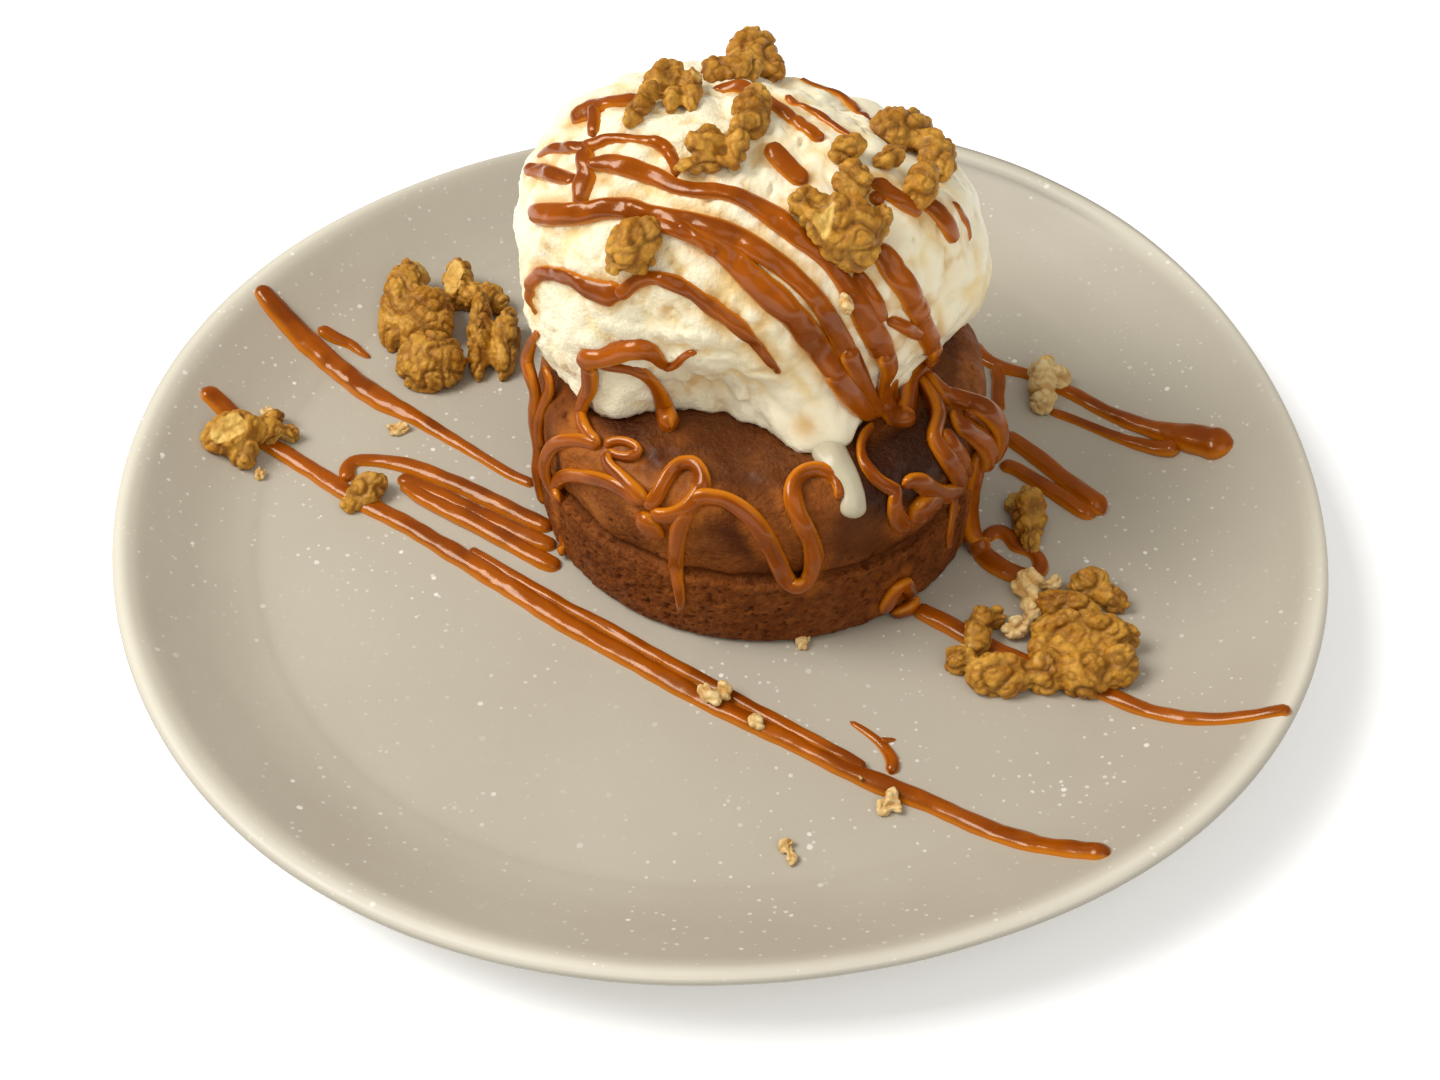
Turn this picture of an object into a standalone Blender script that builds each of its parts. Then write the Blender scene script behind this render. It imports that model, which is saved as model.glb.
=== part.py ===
"""A small date cake under a mound of ice cream, with caramel and walnuts, on a hand-thrown plate.

Sizes are in millimetres about the middle of the thrown plate, with +Z up and the serving side at -Y.
The last step of each shape turns them into metres and moves them so that the plate's box is centred.
The caramel is given as strands: on the cake by bearing and by distance over the crust from the middle
of its top, on the ice cream by bearing and elevation from the mound's middle, on the plate from above.
"""
from itertools import product

import bmesh
import bpy
import numpy as np
from mathutils import Vector
from mathutils.bvhtree import BVHTree

MM = 0.001
TOUCH_GAP = 0.3         # air between two pieces that touch
REST_GAP = 0.4          # and under a walnut piece
MERGE = 0.00001         # metres, for the welds at an axis or a cap

# Plate
PLATE_R = 125.0
PLATE_STEPS = 64
FLOOR_Z = 7.0
PLATE_TOP = [(0, FLOOR_Z), (60, FLOOR_Z), (92, 7.2), (100, 8.3), (107, 10.9), (114, 14.8), (120, 18.5),
             (123, 19.9)]
PLATE_LIP = [(124.6, 19.7), (125, 18.6), (123.8, 16.6)]
PLATE_UNDER = [(117, 11.2), (109, 6.2), (98, 3.0), (80, 1.8), (75, 0), (68, 0), (65.5, 1.9), (0, 2.0)]
# The rim is pulled out of round: how far, in waves per turn
PLATE_WAVES = [(2, 0.09, 1.06), (3, -1.06, -0.25), (4, -0.98, -1.16)]

# Cake: a crumbly foot ring, a small step and a smoother domed top
CAKE_AT = (8.2, 7.0)
CAKE_STEPS = 48
CAKE_BASE_Z = FLOOR_Z + TOUCH_GAP
CAKE_DOME = [(0, 47), (12, 46.9), (24, 46.4), (33, 45.7), (39, 44.8)]
CAKE_R = 45.5
RING_R = 47.0
CAKE_WALL = [(42.6, 43.2), (44.8, 40.6), (CAKE_R, 37.5), (45.6, 30), (45.3, 25.5), (45.0, 24.6), (46.6, 24.0),
             (RING_R, 22.5), (46.9, 12), (46.4, 7.9), (45.8, CAKE_BASE_Z), (0, CAKE_BASE_Z)]
CAKE_SIDE = CAKE_DOME + CAKE_WALL
CAKE_LUMP = 11.0        # size of the crust's dents, and their depth
CAKE_DENT = 0.35

# Ice cream: a squarish mound, pushed out or in towards some bearings
SCOOP_AT = (7.0, 14.0, 67.0)
SCOOP_HALF = (42.0, 36.5)
SCOOP_UP = 32.0
SCOOP_DOWN = 44.0
SCOOP_SQUARE = 2.3
SCOOP_STEPS = (44, 22)
# bearing, elevation, spread in degrees, height in mm
SCOOP_BUMPS = [(25, 38, 28, -6.9), (75, 55, 28, -3.2), (185, 30, 30, 5.3), (0, -5, 30, 4.9),
               (180, -20, 30, 4.8), (-45, -25, 25, -2.3), (-110, -25, 25, -4.2), (224, -28, 10, 4.5),
               (248, -28, 16, -3.5), (290, -30, 12, 6.0), (335, -25, 14, -3.5), (205, -25, 12, 1.5)]
SCOOP_LUMPS = [(17.0, 1.5, 4), (8.0, 0.6, 9)]

# Melted ice cream that runs down the crust: bearing and distance over the crust, then half width
DRIP = [(-66, 25, 3.2), (-67, 32, 2.9), (-68, 37, 2.6), (-69, 42, 2.3), (-69, 46, 2.3), (-69, 50, 2.5),
        (-69, 52, 2.2)]

# Caramel on the plate, seen from above: x, y, half width
PLATE_STRANDS = {
    "upper_left": [(-106, 58, 2.3), (-101, 53, 2.7), (-95, 48, 2.9), (-88, 42, 2.9), (-78, 34, 2.7),
                   (-68, 26, 2.1), (-58, 19, 1.7), (-48, 10, 1.5), (-41, 5, 1.3)],
    "spur_left": [(-92, 50, 1.4), (-86, 50, 1.3), (-80, 46, 0.8)],
    "front": [(-114, 27, 2.2), (-110, 24, 2.3), (-105, 20, 2.2), (-98, 15, 2.2), (-85, 7, 2.2),
              (-72, -1, 2.3), (-55, -13, 2.3), (-42, -23, 2.4), (-30, -32, 2.6), (-16, -42, 2.7),
              (-3, -52, 2.8), (10, -61, 2.8), (22, -69, 2.6), (32, -75, 2.6), (43, -81, 2.4),
              (51, -87, 2.3), (58, -93, 2.3), (64, -97, 2.3), (68, -98, 2.5)],
    "spur_front": [(25, -60, 0.8), (32, -66, 1.2), (33, -72, 1.4)],
    "hairpin_outer": [(-77, 4, 1.8), (-79, 10, 1.8), (-77, 13, 1.9), (-70, 12, 1.9), (-59, 9, 2.1),
                      (-48, 2, 2.2), (-38, -5, 2.0)],
    "hairpin_middle": [(-70, 9, 1.6), (-61, 5, 1.9), (-49, -3, 1.9), (-37, -11, 1.8)],
    "hairpin_inner": [(-70, 7, 1.8), (-67, 3, 2.0), (-57, -3, 2.2), (-47, -10, 2.2), (-35, -17, 2.2)],
    "right_upper": [(63, 51, 1.5), (68, 47, 1.7), (73, 41, 1.8), (77, 36, 1.8), (83, 31, 1.9),
                    (89, 26, 2.1), (94, 21, 2.3), (100, 17, 2.6), (106, 14, 2.9), (110, 13, 3.1)],
    "right_lower": [(65, 34, 1.1), (71, 32, 1.1), (77, 29, 1.2), (84, 25, 1.4), (91, 20, 1.8),
                    (98, 17, 2.0)],
    "tongue_upper": [(60, 23, 1.8), (64, 19, 1.8), (69, 14, 2.0), (74, 9, 2.1), (79, 3, 2.3),
                     (82, -2, 2.6)],
    "tongue_lower": [(58, 15, 1.6), (62, 11, 1.7), (67, 6, 1.8), (73, 1, 2.0), (78, -3, 2.1),
                     (81, -4, 2.3)],
    "curl": [(54, -4, 2.4), (53, -11, 2.4), (55, -16, 2.4), (59, -19, 2.4), (63, -22, 2.3), (67, -20, 2.0),
             (66, -16, 1.8), (61, -14, 1.8), (58, -11, 2.0)],
    "right_front": [(38, -32, 2.6), (43, -34, 2.0), (50, -39, 1.9), (58, -44, 1.9), (68, -49, 1.8),
                    (78, -55, 1.7), (85, -60, 1.7), (90, -63, 1.6), (96, -65, 1.5), (101, -66, 1.4),
                    (105, -67, 1.5)],
}

# Caramel on the cake: bearing, distance over the crust, half width
CAKE_STRANDS = {
    "side_left": [(178, 40, 1.8), (181, 47, 2.1), (185, 55, 2.0), (191, 62, 1.9), (198, 69, 1.7),
                  (202, 76, 1.5)],
    "corner_left": [(-153, 78, 1.9), (-149, 70, 1.8), (-148, 62, 1.7), (-150, 55, 1.7), (-146, 50, 1.7),
                    (-140, 47, 1.7), (-132, 46, 1.7), (-122, 46, 1.7), (-117, 47, 1.6)],
    "loop": [(-117, 48, 1.5), (-117, 42, 1.5), (-114, 38, 1.5), (-110, 37, 1.5), (-107, 41, 1.6),
             (-109, 46, 1.7), (-113, 49, 1.5), (-117, 48, 1.3)],
    "loop_drip": [(-111, 47, 1.7), (-112, 54, 1.7), (-111, 61, 1.5), (-111, 67, 1.1), (-110, 72, 0.7)],
    "wave": [(-109, 45, 1.6), (-106, 43, 1.7), (-98, 44, 1.8), (-93, 48, 1.8), (-90, 54, 1.8),
             (-87, 61, 1.9), (-83, 65, 1.9), (-79, 62, 1.8), (-77, 56, 1.8), (-79, 49, 1.8), (-83, 43, 1.7),
             (-82, 39, 1.7), (-78, 37, 1.6), (-74, 38, 1.6), (-71, 42, 1.3)],
    "inner_left": [(-158, 70, 1.5), (-160, 60, 1.7), (-157, 52, 1.7), (-152, 47, 1.7), (-145, 43, 1.6),
                   (-138, 41, 1.4)],
    "edge_left": [(-171, 34, 1.9), (-163, 35, 2.0), (-155, 39, 2.0), (-148, 42, 1.9), (-142, 43, 1.6)],
    "arch": [(-134, 29, 2.0), (-129, 31, 2.4), (-124, 34, 3.0)],
    "snake_right": [(-27, 36, 1.8), (-32, 40, 1.8), (-38, 42, 1.8), (-38, 46, 1.8), (-35, 51, 1.8),
                    (-35, 56, 1.7), (-40, 55, 1.7), (-46, 49, 1.7), (-50, 46, 1.7), (-54, 46, 1.5)],
    "hook_right": [(-53, 36, 1.3), (-57, 37, 1.4), (-60, 39, 1.5), (-59, 43, 1.5), (-57, 46, 1.5),
                   (-57, 50, 1.5), (-55, 56, 1.3)],
    "ribbon_outer": [(-22, 37, 1.8), (-21, 42, 2.0), (-15, 44, 2.2), (-8, 47, 2.2), (-6, 52, 2.2),
                     (-11, 57, 1.9)],
    "ribbon_inner": [(-27, 41, 1.5), (-24, 46, 1.6), (-17, 50, 1.6), (-13, 55, 1.6)],
    "side_right": [(-12, 54, 2.2), (-15, 62, 2.1), (-17, 70, 2.0), (-19, 77, 2.0)],
    "thin_right": [(-36, 55, 1.1), (-38, 62, 1.0), (-39, 71, 0.8)],
    "shoulder_right": [(20, 40, 2.2), (12, 42, 3.0), (5, 44, 3.2), (-1, 47, 2.8), (-5, 52, 2.2),
                       (-8, 62, 1.8)],
}

# Caramel on the ice cream: bearing, elevation, half width
SCOOP_STRANDS = {
    "back_left": [(-175, 30, 1.6), (179, 38, 2.2), (173, 42, 2.3), (168, 47, 2.2), (160, 56, 1.8)],
    "upper_left": [(-177, 27, 1.2), (-174, 33, 1.2), (-163, 44, 1.2), (-156, 52, 1.2), (-147, 56, 1.1),
                   (-134, 54, 1.0)],
    "link_left": [(-162, 39, 1.5), (-155, 35, 1.6), (-150, 30, 1.4)],
    "left_short": [(-178, 22, 1.7), (-168, 27, 1.8), (-158, 33, 1.5)],
    "long_upper": [(-157, 38, 1.5), (-151, 43, 1.7), (-141, 47, 1.8), (-129, 49, 2.0), (-115, 51, 2.2),
                   (-103, 51, 2.2), (-91, 49, 2.1), (-82, 43, 2.1), (-76, 37, 2.2), (-71, 30, 2.3),
                   (-66, 23, 2.4), (-63, 12, 2.3), (-62, 2, 2.2), (-61, -8, 2.0)],
    "long_middle": [(-163, 20, 2.0), (-153, 26, 2.1), (-145, 32, 2.1), (-138, 36, 2.1), (-129, 38, 2.1),
                    (-120, 40, 2.1), (-108, 40, 2.2), (-96, 36, 2.2), (-85, 30, 2.2), (-77, 23, 2.2),
                    (-70, 14, 2.2), (-66, 6, 2.0)],
    "broad": [(-107, 38, 1.6), (-98, 33, 2.1), (-91, 27, 2.4), (-84, 19, 2.5), (-77, 11, 2.6),
              (-70, 1, 2.6), (-65, -10, 2.4), (-62, -19, 2.0)],
    "left_low": [(-162, -8, 1.4), (-160, 2, 1.7), (-154, 9, 1.9), (-145, 13, 2.2), (-138, 14, 2.4),
                 (-130, 14, 1.6)],
    "front": [(-129, 18, 1.7), (-122, 23, 1.8), (-114, 24, 1.8), (-106, 20, 1.8), (-98, 13, 1.7),
              (-91, 3, 1.5), (-86, -6, 1.2), (-82, -12, 0.8)],
    "top": [(-20, 84, 1.5), (-46, 75, 1.7), (-44, 67, 1.6), (-40, 62, 1.3)],
    "top_short": [(-80, 66, 1.8), (-71, 60, 1.9), (-65, 52, 1.6)],
    "crest_back": [(70, 48, 1.1), (58, 44, 1.3), (44, 41, 1.3), (30, 39, 1.3), (20, 37, 1.2)],
    "crest_front": [(0, 78, 1.2), (-20, 66, 1.3), (-25, 54, 1.1)],
    "right": [(-40, 43, 1.6), (-37, 36, 1.9), (-33, 30, 2.2), (-29, 24, 2.2), (-27, 18, 1.7)],
    "right_outer": [(-26, 30, 1.2), (-21, 23, 1.5), (-19, 16, 1.1)],
    "right_long": [(-50, 28, 2.1), (-47, 20, 2.2), (-42, 8, 2.1), (-37, -3, 1.9), (-31, -14, 1.7),
                   (-29, -24, 1.4)],
    "last": [(-58, 22, 2.0), (-56, 13, 2.1), (-51, 0, 2.1), (-48, -14, 2.0), (-45, -26, 1.7)],
    "lip": [(-141, -14, 1.8), (-132, -5, 2.4), (-125, 0, 2.6), (-120, -2, 2.1), (-116, -7, 1.2)],
}

# Walnut pieces on the ice cream: bearing, elevation, half sizes along, across and thick, turn, seed
SCOOP_NUTS = {
    "nut_peak": (104, 71, (8.0, 5.6, 5.0), 10, 1),
    "nut_curl": (-172, 60, (7.2, 6.2, 4.4), 60, 2),
    "nut_big": (-112, 64, (12.5, 6.0, 4.6), 10, 3),
    "nut_right": (-22, 42, (8.0, 8.4, 4.6), 0, 4),
    "nut_chip": (-50, 58, (4.2, 2.6, 2.4), 30, 5),
    "nut_front": (-63, 40, (9.5, 8.6, 4.4), 45, 6),
    "nut_left": (-127, 29, (5.4, 5.0, 3.8), 0, 7),
}
# Walnut pieces on the plate: x, y, half sizes along, across and high, turn, seed
PLATE_NUTS = {
    "walnut_half_left": (-64, 58, (15.5, 12.5, 6.5), -5, 11),
    "nut_rim_left": (-104, 17, (9.5, 6.0, 4.6), 10, 12),
    "nut_small_left": (-77, 3, (4.6, 4.0, 3.4), 20, 13),
    "walnut_half_right": (65, -38, (19.0, 9.2, 6.0), -6, 14),
    "walnut_lobe_right": (78, -24, (6.6, 4.4, 4.0), -15, 15),
    "nut_pale_chips": (61, -24, (4.4, 4.2, 5.0), 60, 16),
    "nut_wedge": (66, -5, (4.2, 4.4, 5.0), 10, 17),
    "nut_pale_right": (74, 37, (5.0, 4.6, 4.0), 25, 18),
}
# The groove between a half's lobes: place, width and depth as shares of its size, open to the front
GROOVES = {"walnut_half_left": (0.25, 0.16, 0.42), "walnut_half_right": (-0.45, 0.2, 0.25)}
# Folds of a piece, as shares of its size: how long, how deep and the seed's step, on a ball of this radius
NUT_BALL = 0.96
NUT_FOLDS = [(0.75, 0.16, 0), (0.35, 0.08, 50)]
GROOVE_END = 0.4        # where a groove fades out, towards the back
NUT_ROOM = 1.12         # how far a piece reaches from its middle, as a share of its half size
SCOOP_NUT_SEAT = 0.85   # height of its middle over the mound, as a share of its half thickness
PLATE_NUT_SEAT = 0.92   # and over the plate
SMALL_NUT = 6.0         # a nut thinner than this from its middle is made with fewer faces
SMALL_NUT_STEPS = (10, 7)
NUT_STEPS = (14, 10)

# Strands of caramel
STRAND_STEP = 4.2       # between two points along a strand
PLATE_STEP = 8.0        # the same for the straighter strands on the plate
SCOOP_STEP = 5.4        # and on the ice cream
STRAND_LIFT = 0.25      # how far its middle stands off the surface, as a share of its half width
STRAND_AIR = 0.6        # between a strand and another piece

COLOURS = {             # linear red, green and blue, then roughness
    "plate": ((0.55, 0.49, 0.40), 0.4),
    "cake": ((0.17, 0.065, 0.02), 0.6),
    "ice_cream": ((0.87, 0.82, 0.62), 0.5),
    "walnut": ((0.46, 0.21, 0.06), 0.6),
}


def lumps(points, size, seed):
    """Smooth noise of about -1 to 1: random slopes at the corners of cubes of this size, blended between."""
    draw = np.random.default_rng(seed)
    slopes = draw.normal(size=(256, 3))
    slopes /= np.linalg.norm(slopes, axis=1)[:, None]
    order = draw.permutation(256)
    scaled = points / size
    cell = np.floor(scaled).astype(int)
    part = scaled - cell
    blend = part ** 3 * (part * (part * 6 - 15) + 10)
    total = np.zeros(points.shape[:-1])
    for corner in product((0, 1), repeat=3):
        at = (cell + corner) & 255
        pick = order[(order[(order[at[..., 0]] + at[..., 1]) & 255] + at[..., 2]) & 255]
        weight = np.where(corner, blend, 1 - blend).prod(-1)
        total += weight * ((part - corner) * slopes[pick]).sum(-1)
    return total * 1.6


def outline(turn):
    """Radius of the pulled rim at each angle, in radians."""
    radius = np.full_like(turn, PLATE_R)
    for waves, cosine, sine in PLATE_WAVES:
        radius += cosine * np.cos(waves * turn) + sine * np.sin(waves * turn)
    return radius


def box_centre():
    """Middle of the box round the rim's outline."""
    turn = np.linspace(0, 2 * np.pi, 721)
    x, y = outline(turn) * np.cos(turn), outline(turn) * np.sin(turn)
    return np.array([(x.min() + x.max()) / 2, (y.min() + y.max()) / 2, 0.0])


SHIFT = -box_centre()


def plate_height(x, y):
    """Height of the plate's upper face: the turned profile read at the radius before the rim was pulled."""
    radius = np.hypot(x, y)
    pull = outline(np.arctan2(y, x)) / PLATE_R - 1
    rim, height = np.array(PLATE_TOP).T
    return np.interp(radius / (1 + pull * (radius / PLATE_R) ** 2), rim, height)


def direction(bearing, elevation):
    """Unit vectors for bearings and elevations in degrees."""
    turn, rise = np.radians(bearing), np.radians(elevation)
    return np.stack([np.cos(turn) * np.cos(rise), np.sin(turn) * np.cos(rise), np.sin(rise)], -1)


def cake_top(x, y):
    """Height of the crust's upper face, level beyond the shoulder."""
    radius, height = np.array(CAKE_DOME).T
    return np.interp(np.hypot(x - CAKE_AT[0], y - CAKE_AT[1]), radius, height)


def cake_point(bearing, along, lift):
    """Point on the crust at this bearing and distance along the profile, lifted square to it."""
    profile = np.array(CAKE_SIDE)
    run = np.diff(profile, axis=0)
    distance = np.concatenate([[0], np.cumsum(np.hypot(*run.T))])
    slope = np.degrees(np.unwrap(np.arctan2(run[:, 0], -run[:, 1])))
    middle = (distance[1:] + distance[:-1]) / 2
    tilt = np.radians(np.interp(along, middle, slope))
    radius = np.interp(along, distance, profile[:, 0]) + lift * np.cos(tilt)
    height = np.interp(along, distance, profile[:, 1]) + lift * np.sin(tilt)
    turn = np.radians(bearing)
    return np.stack([CAKE_AT[0] + radius * np.cos(turn), CAKE_AT[1] + radius * np.sin(turn), height], -1)


def scoop_radius(way):
    """Distance from the mound's middle to its surface: a rounded box, bumps fading with angle, and lumps."""
    size = np.where(way[..., 2] > 0, SCOOP_UP, SCOOP_DOWN)
    share = np.abs(way[..., 0] / SCOOP_HALF[0]) ** SCOOP_SQUARE
    share += np.abs(way[..., 1] / SCOOP_HALF[1]) ** SCOOP_SQUARE
    share += np.abs(way[..., 2] / size) ** SCOOP_SQUARE
    radius = share ** (-1 / SCOOP_SQUARE)
    for bearing, elevation, spread, height in SCOOP_BUMPS:
        away = np.degrees(np.arccos(np.clip(way @ direction(bearing, elevation), -1, 1)))
        radius += height * np.exp(-(away / spread) ** 2)
    for lump, height, seed in SCOOP_LUMPS:
        radius += height * lumps(way * SCOOP_HALF[0], lump, seed)
    return radius


def scoop_seat(way):
    """Distance from the mound's middle down to the crust that carries it, very far for a way that rises."""
    falling = np.minimum(way[..., 2], -0.05)
    reach = (CAKE_SIDE[0][1] - SCOOP_AT[2]) / falling
    for _ in range(4):
        x, y = SCOOP_AT[0] + way[..., 0] * reach, SCOOP_AT[1] + way[..., 1] * reach
        reach = (cake_top(x, y) + TOUCH_GAP - SCOOP_AT[2]) / falling
    return np.where(way[..., 2] < -0.05, reach, 1000.0)


def scoop_point(bearing, elevation, lift):
    """Point on the mound at this bearing and elevation, lifted outwards."""
    way = direction(bearing, elevation)
    return np.array(SCOOP_AT) + way * (scoop_radius(way) + lift)[..., None]


def scoop_air(points):
    """Distance from the mound, measured towards its middle."""
    away = points - np.array(SCOOP_AT)
    reach = np.linalg.norm(away, axis=-1)
    way = away / reach[..., None]
    return reach - np.minimum(scoop_radius(way), scoop_seat(way))


def material(name):
    """Plain finish in the part's own colour."""
    colour, roughness = COLOURS[name]
    finish = bpy.data.materials.new(name)
    finish.use_nodes = True
    shader = finish.node_tree.nodes["Principled BSDF"]
    shader.inputs["Base Color"].default_value = (*colour, 1)
    shader.inputs["Roughness"].default_value = roughness
    shader.inputs["Metallic"].default_value = 0.0
    return finish


def mesh_points(mesh):
    """Vertices of a mesh as an array."""
    points = np.empty(len(mesh.vertices) * 3, dtype=np.float32)
    mesh.vertices.foreach_get("co", points)
    return points.reshape(-1, 3).astype(float)


def settle(mesh, points):
    """Write millimetre points into a mesh as metres, about the plate's box."""
    mesh.vertices.foreach_set("co", ((points + SHIFT) * MM).ravel())
    mesh.update()


def add_object(name, mesh, finish, collection):
    """Put a mesh in the scene as a smooth object with one finish."""
    mesh.materials.clear()
    mesh.materials.append(finish)
    mesh.shade_smooth()
    thing = bpy.data.objects.new(name, mesh)
    collection.objects.link(thing)
    return thing


def turned(name, profile, steps):
    """Mesh of a profile turned round the Z axis by a Screw modifier, in millimetres."""
    mesh = bpy.data.meshes.new(name)
    points = [(r * MM, 0, z * MM) for r, z in profile]
    mesh.from_pydata(points, [(i, i + 1) for i in range(len(profile) - 1)], [])
    thing = bpy.data.objects.new(name, mesh)
    bpy.context.scene.collection.objects.link(thing)
    screw = thing.modifiers.new("turn", "SCREW")
    screw.steps = screw.render_steps = steps
    screw.use_merge_vertices = True
    screw.merge_threshold = MERGE
    result = bpy.data.meshes.new_from_object(thing.evaluated_get(bpy.context.evaluated_depsgraph_get()))
    bpy.data.objects.remove(thing)
    bpy.data.meshes.remove(mesh)
    result.name = name
    return result, mesh_points(result) / MM


def ball(name, across, up):
    """Unit sphere mesh with its vertices as an array of directions."""
    shape = bmesh.new()
    bmesh.ops.create_uvsphere(shape, u_segments=across, v_segments=up, radius=1.0)
    mesh = bpy.data.meshes.new(name)
    shape.to_mesh(mesh)
    shape.free()
    way = mesh_points(mesh)
    return mesh, way / np.linalg.norm(way, axis=1)[:, None]


def curve_through(points, step):
    """Catmull-Rom curve through the rows, about one step apart by their first columns."""
    rows = np.array(points, dtype=float)
    ends = np.vstack([2 * rows[0] - rows[1], rows, 2 * rows[-1] - rows[-2]])
    out = []
    for before, start, end, after in zip(ends, ends[1:], ends[2:], ends[3:]):
        count = max(1, round(np.linalg.norm((end - start)[:3]) / step))
        t = (np.arange(count) / count)[:, None]
        out.append(0.5 * (2 * start + (end - before) * t + (2 * before - 5 * start + 4 * end - after) * t ** 2
                          + (3 * start - before - 3 * end + after) * t ** 3))
    return np.vstack(out + [rows[-1:]])


def clear_runs(rows, clear):
    """Stretches of a strand where every point is clear, of two points or more."""
    edges = np.flatnonzero(np.diff(np.concatenate([[0], clear.astype(int), [0]])))
    return [rows[a:b] for a, b in zip(edges[::2], edges[1::2]) if b - a > 1]


def tube(rows, collection):
    """Closed tube along rows of x, y, z and half width, added to the collection of what a Boolean joins."""
    curve = bpy.data.curves.new("strand", "CURVE")
    curve.dimensions = "3D"
    curve.bevel_depth = MM
    curve.bevel_resolution = 1
    curve.use_fill_caps = True
    spline = curve.splines.new("POLY")
    spline.points.add(len(rows) - 1)
    for point, row in zip(spline.points, rows):
        point.co = (*((row[:3] + SHIFT) * MM), 1)
        point.radius = row[3]
    wire = bpy.data.objects.new("strand", curve)
    bpy.context.scene.collection.objects.link(wire)
    mesh = bpy.data.meshes.new_from_object(wire.evaluated_get(bpy.context.evaluated_depsgraph_get()))
    bpy.data.objects.remove(wire)
    bpy.data.curves.remove(curve)
    shape = bmesh.new()
    shape.from_mesh(mesh)
    bmesh.ops.remove_doubles(shape, verts=shape.verts, dist=MERGE)
    bmesh.ops.recalc_face_normals(shape, faces=shape.faces)
    shape.to_mesh(mesh)
    shape.free()
    collection.objects.link(bpy.data.objects.new("strand", mesh))


def keep_largest(mesh):
    """Drop loose scraps and the walls of sealed hollows, which leaves the one outer body."""
    shape = bmesh.new()
    shape.from_mesh(mesh)
    todo = set(shape.verts)
    bodies = []
    while todo:
        body, edge = set(), [todo.pop()]
        while edge:
            vertex = edge.pop()
            body.add(vertex)
            near = {link.other_vert(vertex) for link in vertex.link_edges} & todo
            todo -= near
            edge.extend(near)
        bodies.append(body)
    largest = max(bodies, key=len)
    scraps = [vertex for body in bodies if body is not largest for vertex in body]
    bmesh.ops.delete(shape, geom=scraps, context="VERTS")
    shape.to_mesh(mesh)
    shape.free()


def join(thing, extras, solver="EXACT"):
    """Fuse a collection's objects to a body with one Boolean union, and remove them."""
    fuse = thing.modifiers.new("fuse", "BOOLEAN")
    fuse.operation = "UNION"
    fuse.operand_type = "COLLECTION"
    fuse.collection = extras
    fuse.solver = solver
    bpy.context.view_layer.update()
    whole = bpy.data.meshes.new_from_object(thing.evaluated_get(bpy.context.evaluated_depsgraph_get()))
    thing.modifiers.remove(fuse)
    keep_largest(whole)
    finish = thing.data.materials[0]
    thing.data = whole
    whole.materials.clear()
    whole.materials.append(finish)
    whole.shade_smooth()
    for extra in list(extras.objects):
        bpy.data.objects.remove(extra)
    bpy.data.collections.remove(extras)


def strands_collection(name):
    """Collection for the strands that one Boolean joins to a body."""
    extras = bpy.data.collections.new(name)
    bpy.context.scene.collection.children.link(extras)
    return extras


def make_plate(finish, collection):
    """Turned plate with its rim pulled out of round, and the caramel that lies on it."""
    mesh, points = turned("plate", PLATE_TOP + PLATE_LIP + PLATE_UNDER, PLATE_STEPS)
    radius = np.hypot(points[:, 0], points[:, 1])
    pull = outline(np.arctan2(points[:, 1], points[:, 0])) / PLATE_R - 1
    points[:, :2] *= (1 + pull * (radius / PLATE_R) ** 2)[:, None]
    settle(mesh, points)
    plate = add_object("plate", mesh, finish, collection)
    extras = strands_collection("plate_strands")
    for route in PLATE_STRANDS.values():
        x, y, half = curve_through(route, PLATE_STEP).T
        rows = np.stack([x, y, plate_height(x, y) + STRAND_LIFT * half, half], -1)
        room = STRAND_AIR + half
        clear = np.hypot(x - CAKE_AT[0], y - CAKE_AT[1]) > RING_R + room
        for nut_x, nut_y, sizes, *_ in PLATE_NUTS.values():
            clear &= np.hypot(x - nut_x, y - nut_y) > max(sizes[:2]) * NUT_ROOM + room
        for run in clear_runs(rows, clear):
            tube(run, extras)
    join(plate, extras)


def make_cake(finish, collection):
    """Turned cake with a slightly uneven crust, and the caramel that runs over it."""
    mesh, points = turned("cake", CAKE_SIDE, CAKE_STEPS)
    radius = np.hypot(points[:, 0], points[:, 1])
    outside = radius > CAKE_DOME[-1][0]
    dent = CAKE_DENT * np.abs(lumps(points, CAKE_LUMP, 21)) * outside
    points[:, :2] *= (1 - dent / np.maximum(radius, 1))[:, None]
    points += (*CAKE_AT, 0)
    settle(mesh, points)
    cake = add_object("cake", mesh, finish, collection)
    drip = drip_rows()
    extras = strands_collection("cake_strands")
    for route in CAKE_STRANDS.values():
        for run in clear_runs(*cake_strand(route, drip)):
            tube(run, extras)
    join(cake, extras)


def unroll(route):
    """A crust route with its bearings as millimetres round the shoulder, so that steps are even."""
    rows = np.array(route, dtype=float)
    rows[:, 0] = np.radians(rows[:, 0]) * CAKE_R
    return rows


def cake_strand(route, drip):
    """Rows of a strand on the crust, and which of them are clear of the ice cream, its drip and the plate."""
    around, along, half = curve_through(unroll(route), STRAND_STEP).T
    bearing = np.degrees(around / CAKE_R)
    points = cake_point(bearing, along, STRAND_LIFT * half)
    room = STRAND_AIR + half
    clear = scoop_air(points) > room
    clear &= points[:, 2] > FLOOR_Z + room
    for row in drip:
        clear &= np.linalg.norm(points - row[:3], axis=1) > row[3] + room
    return np.column_stack([points, half]), clear


def drip_rows():
    """Rows of the melted run: it lies just off the crust, and starts inside the mound."""
    around, along, half = curve_through(unroll(DRIP), STRAND_STEP).T
    bearing = np.degrees(around / CAKE_R)
    return np.column_stack([cake_point(bearing, along, half * 1.08 + TOUCH_GAP + 0.1), half])


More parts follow.
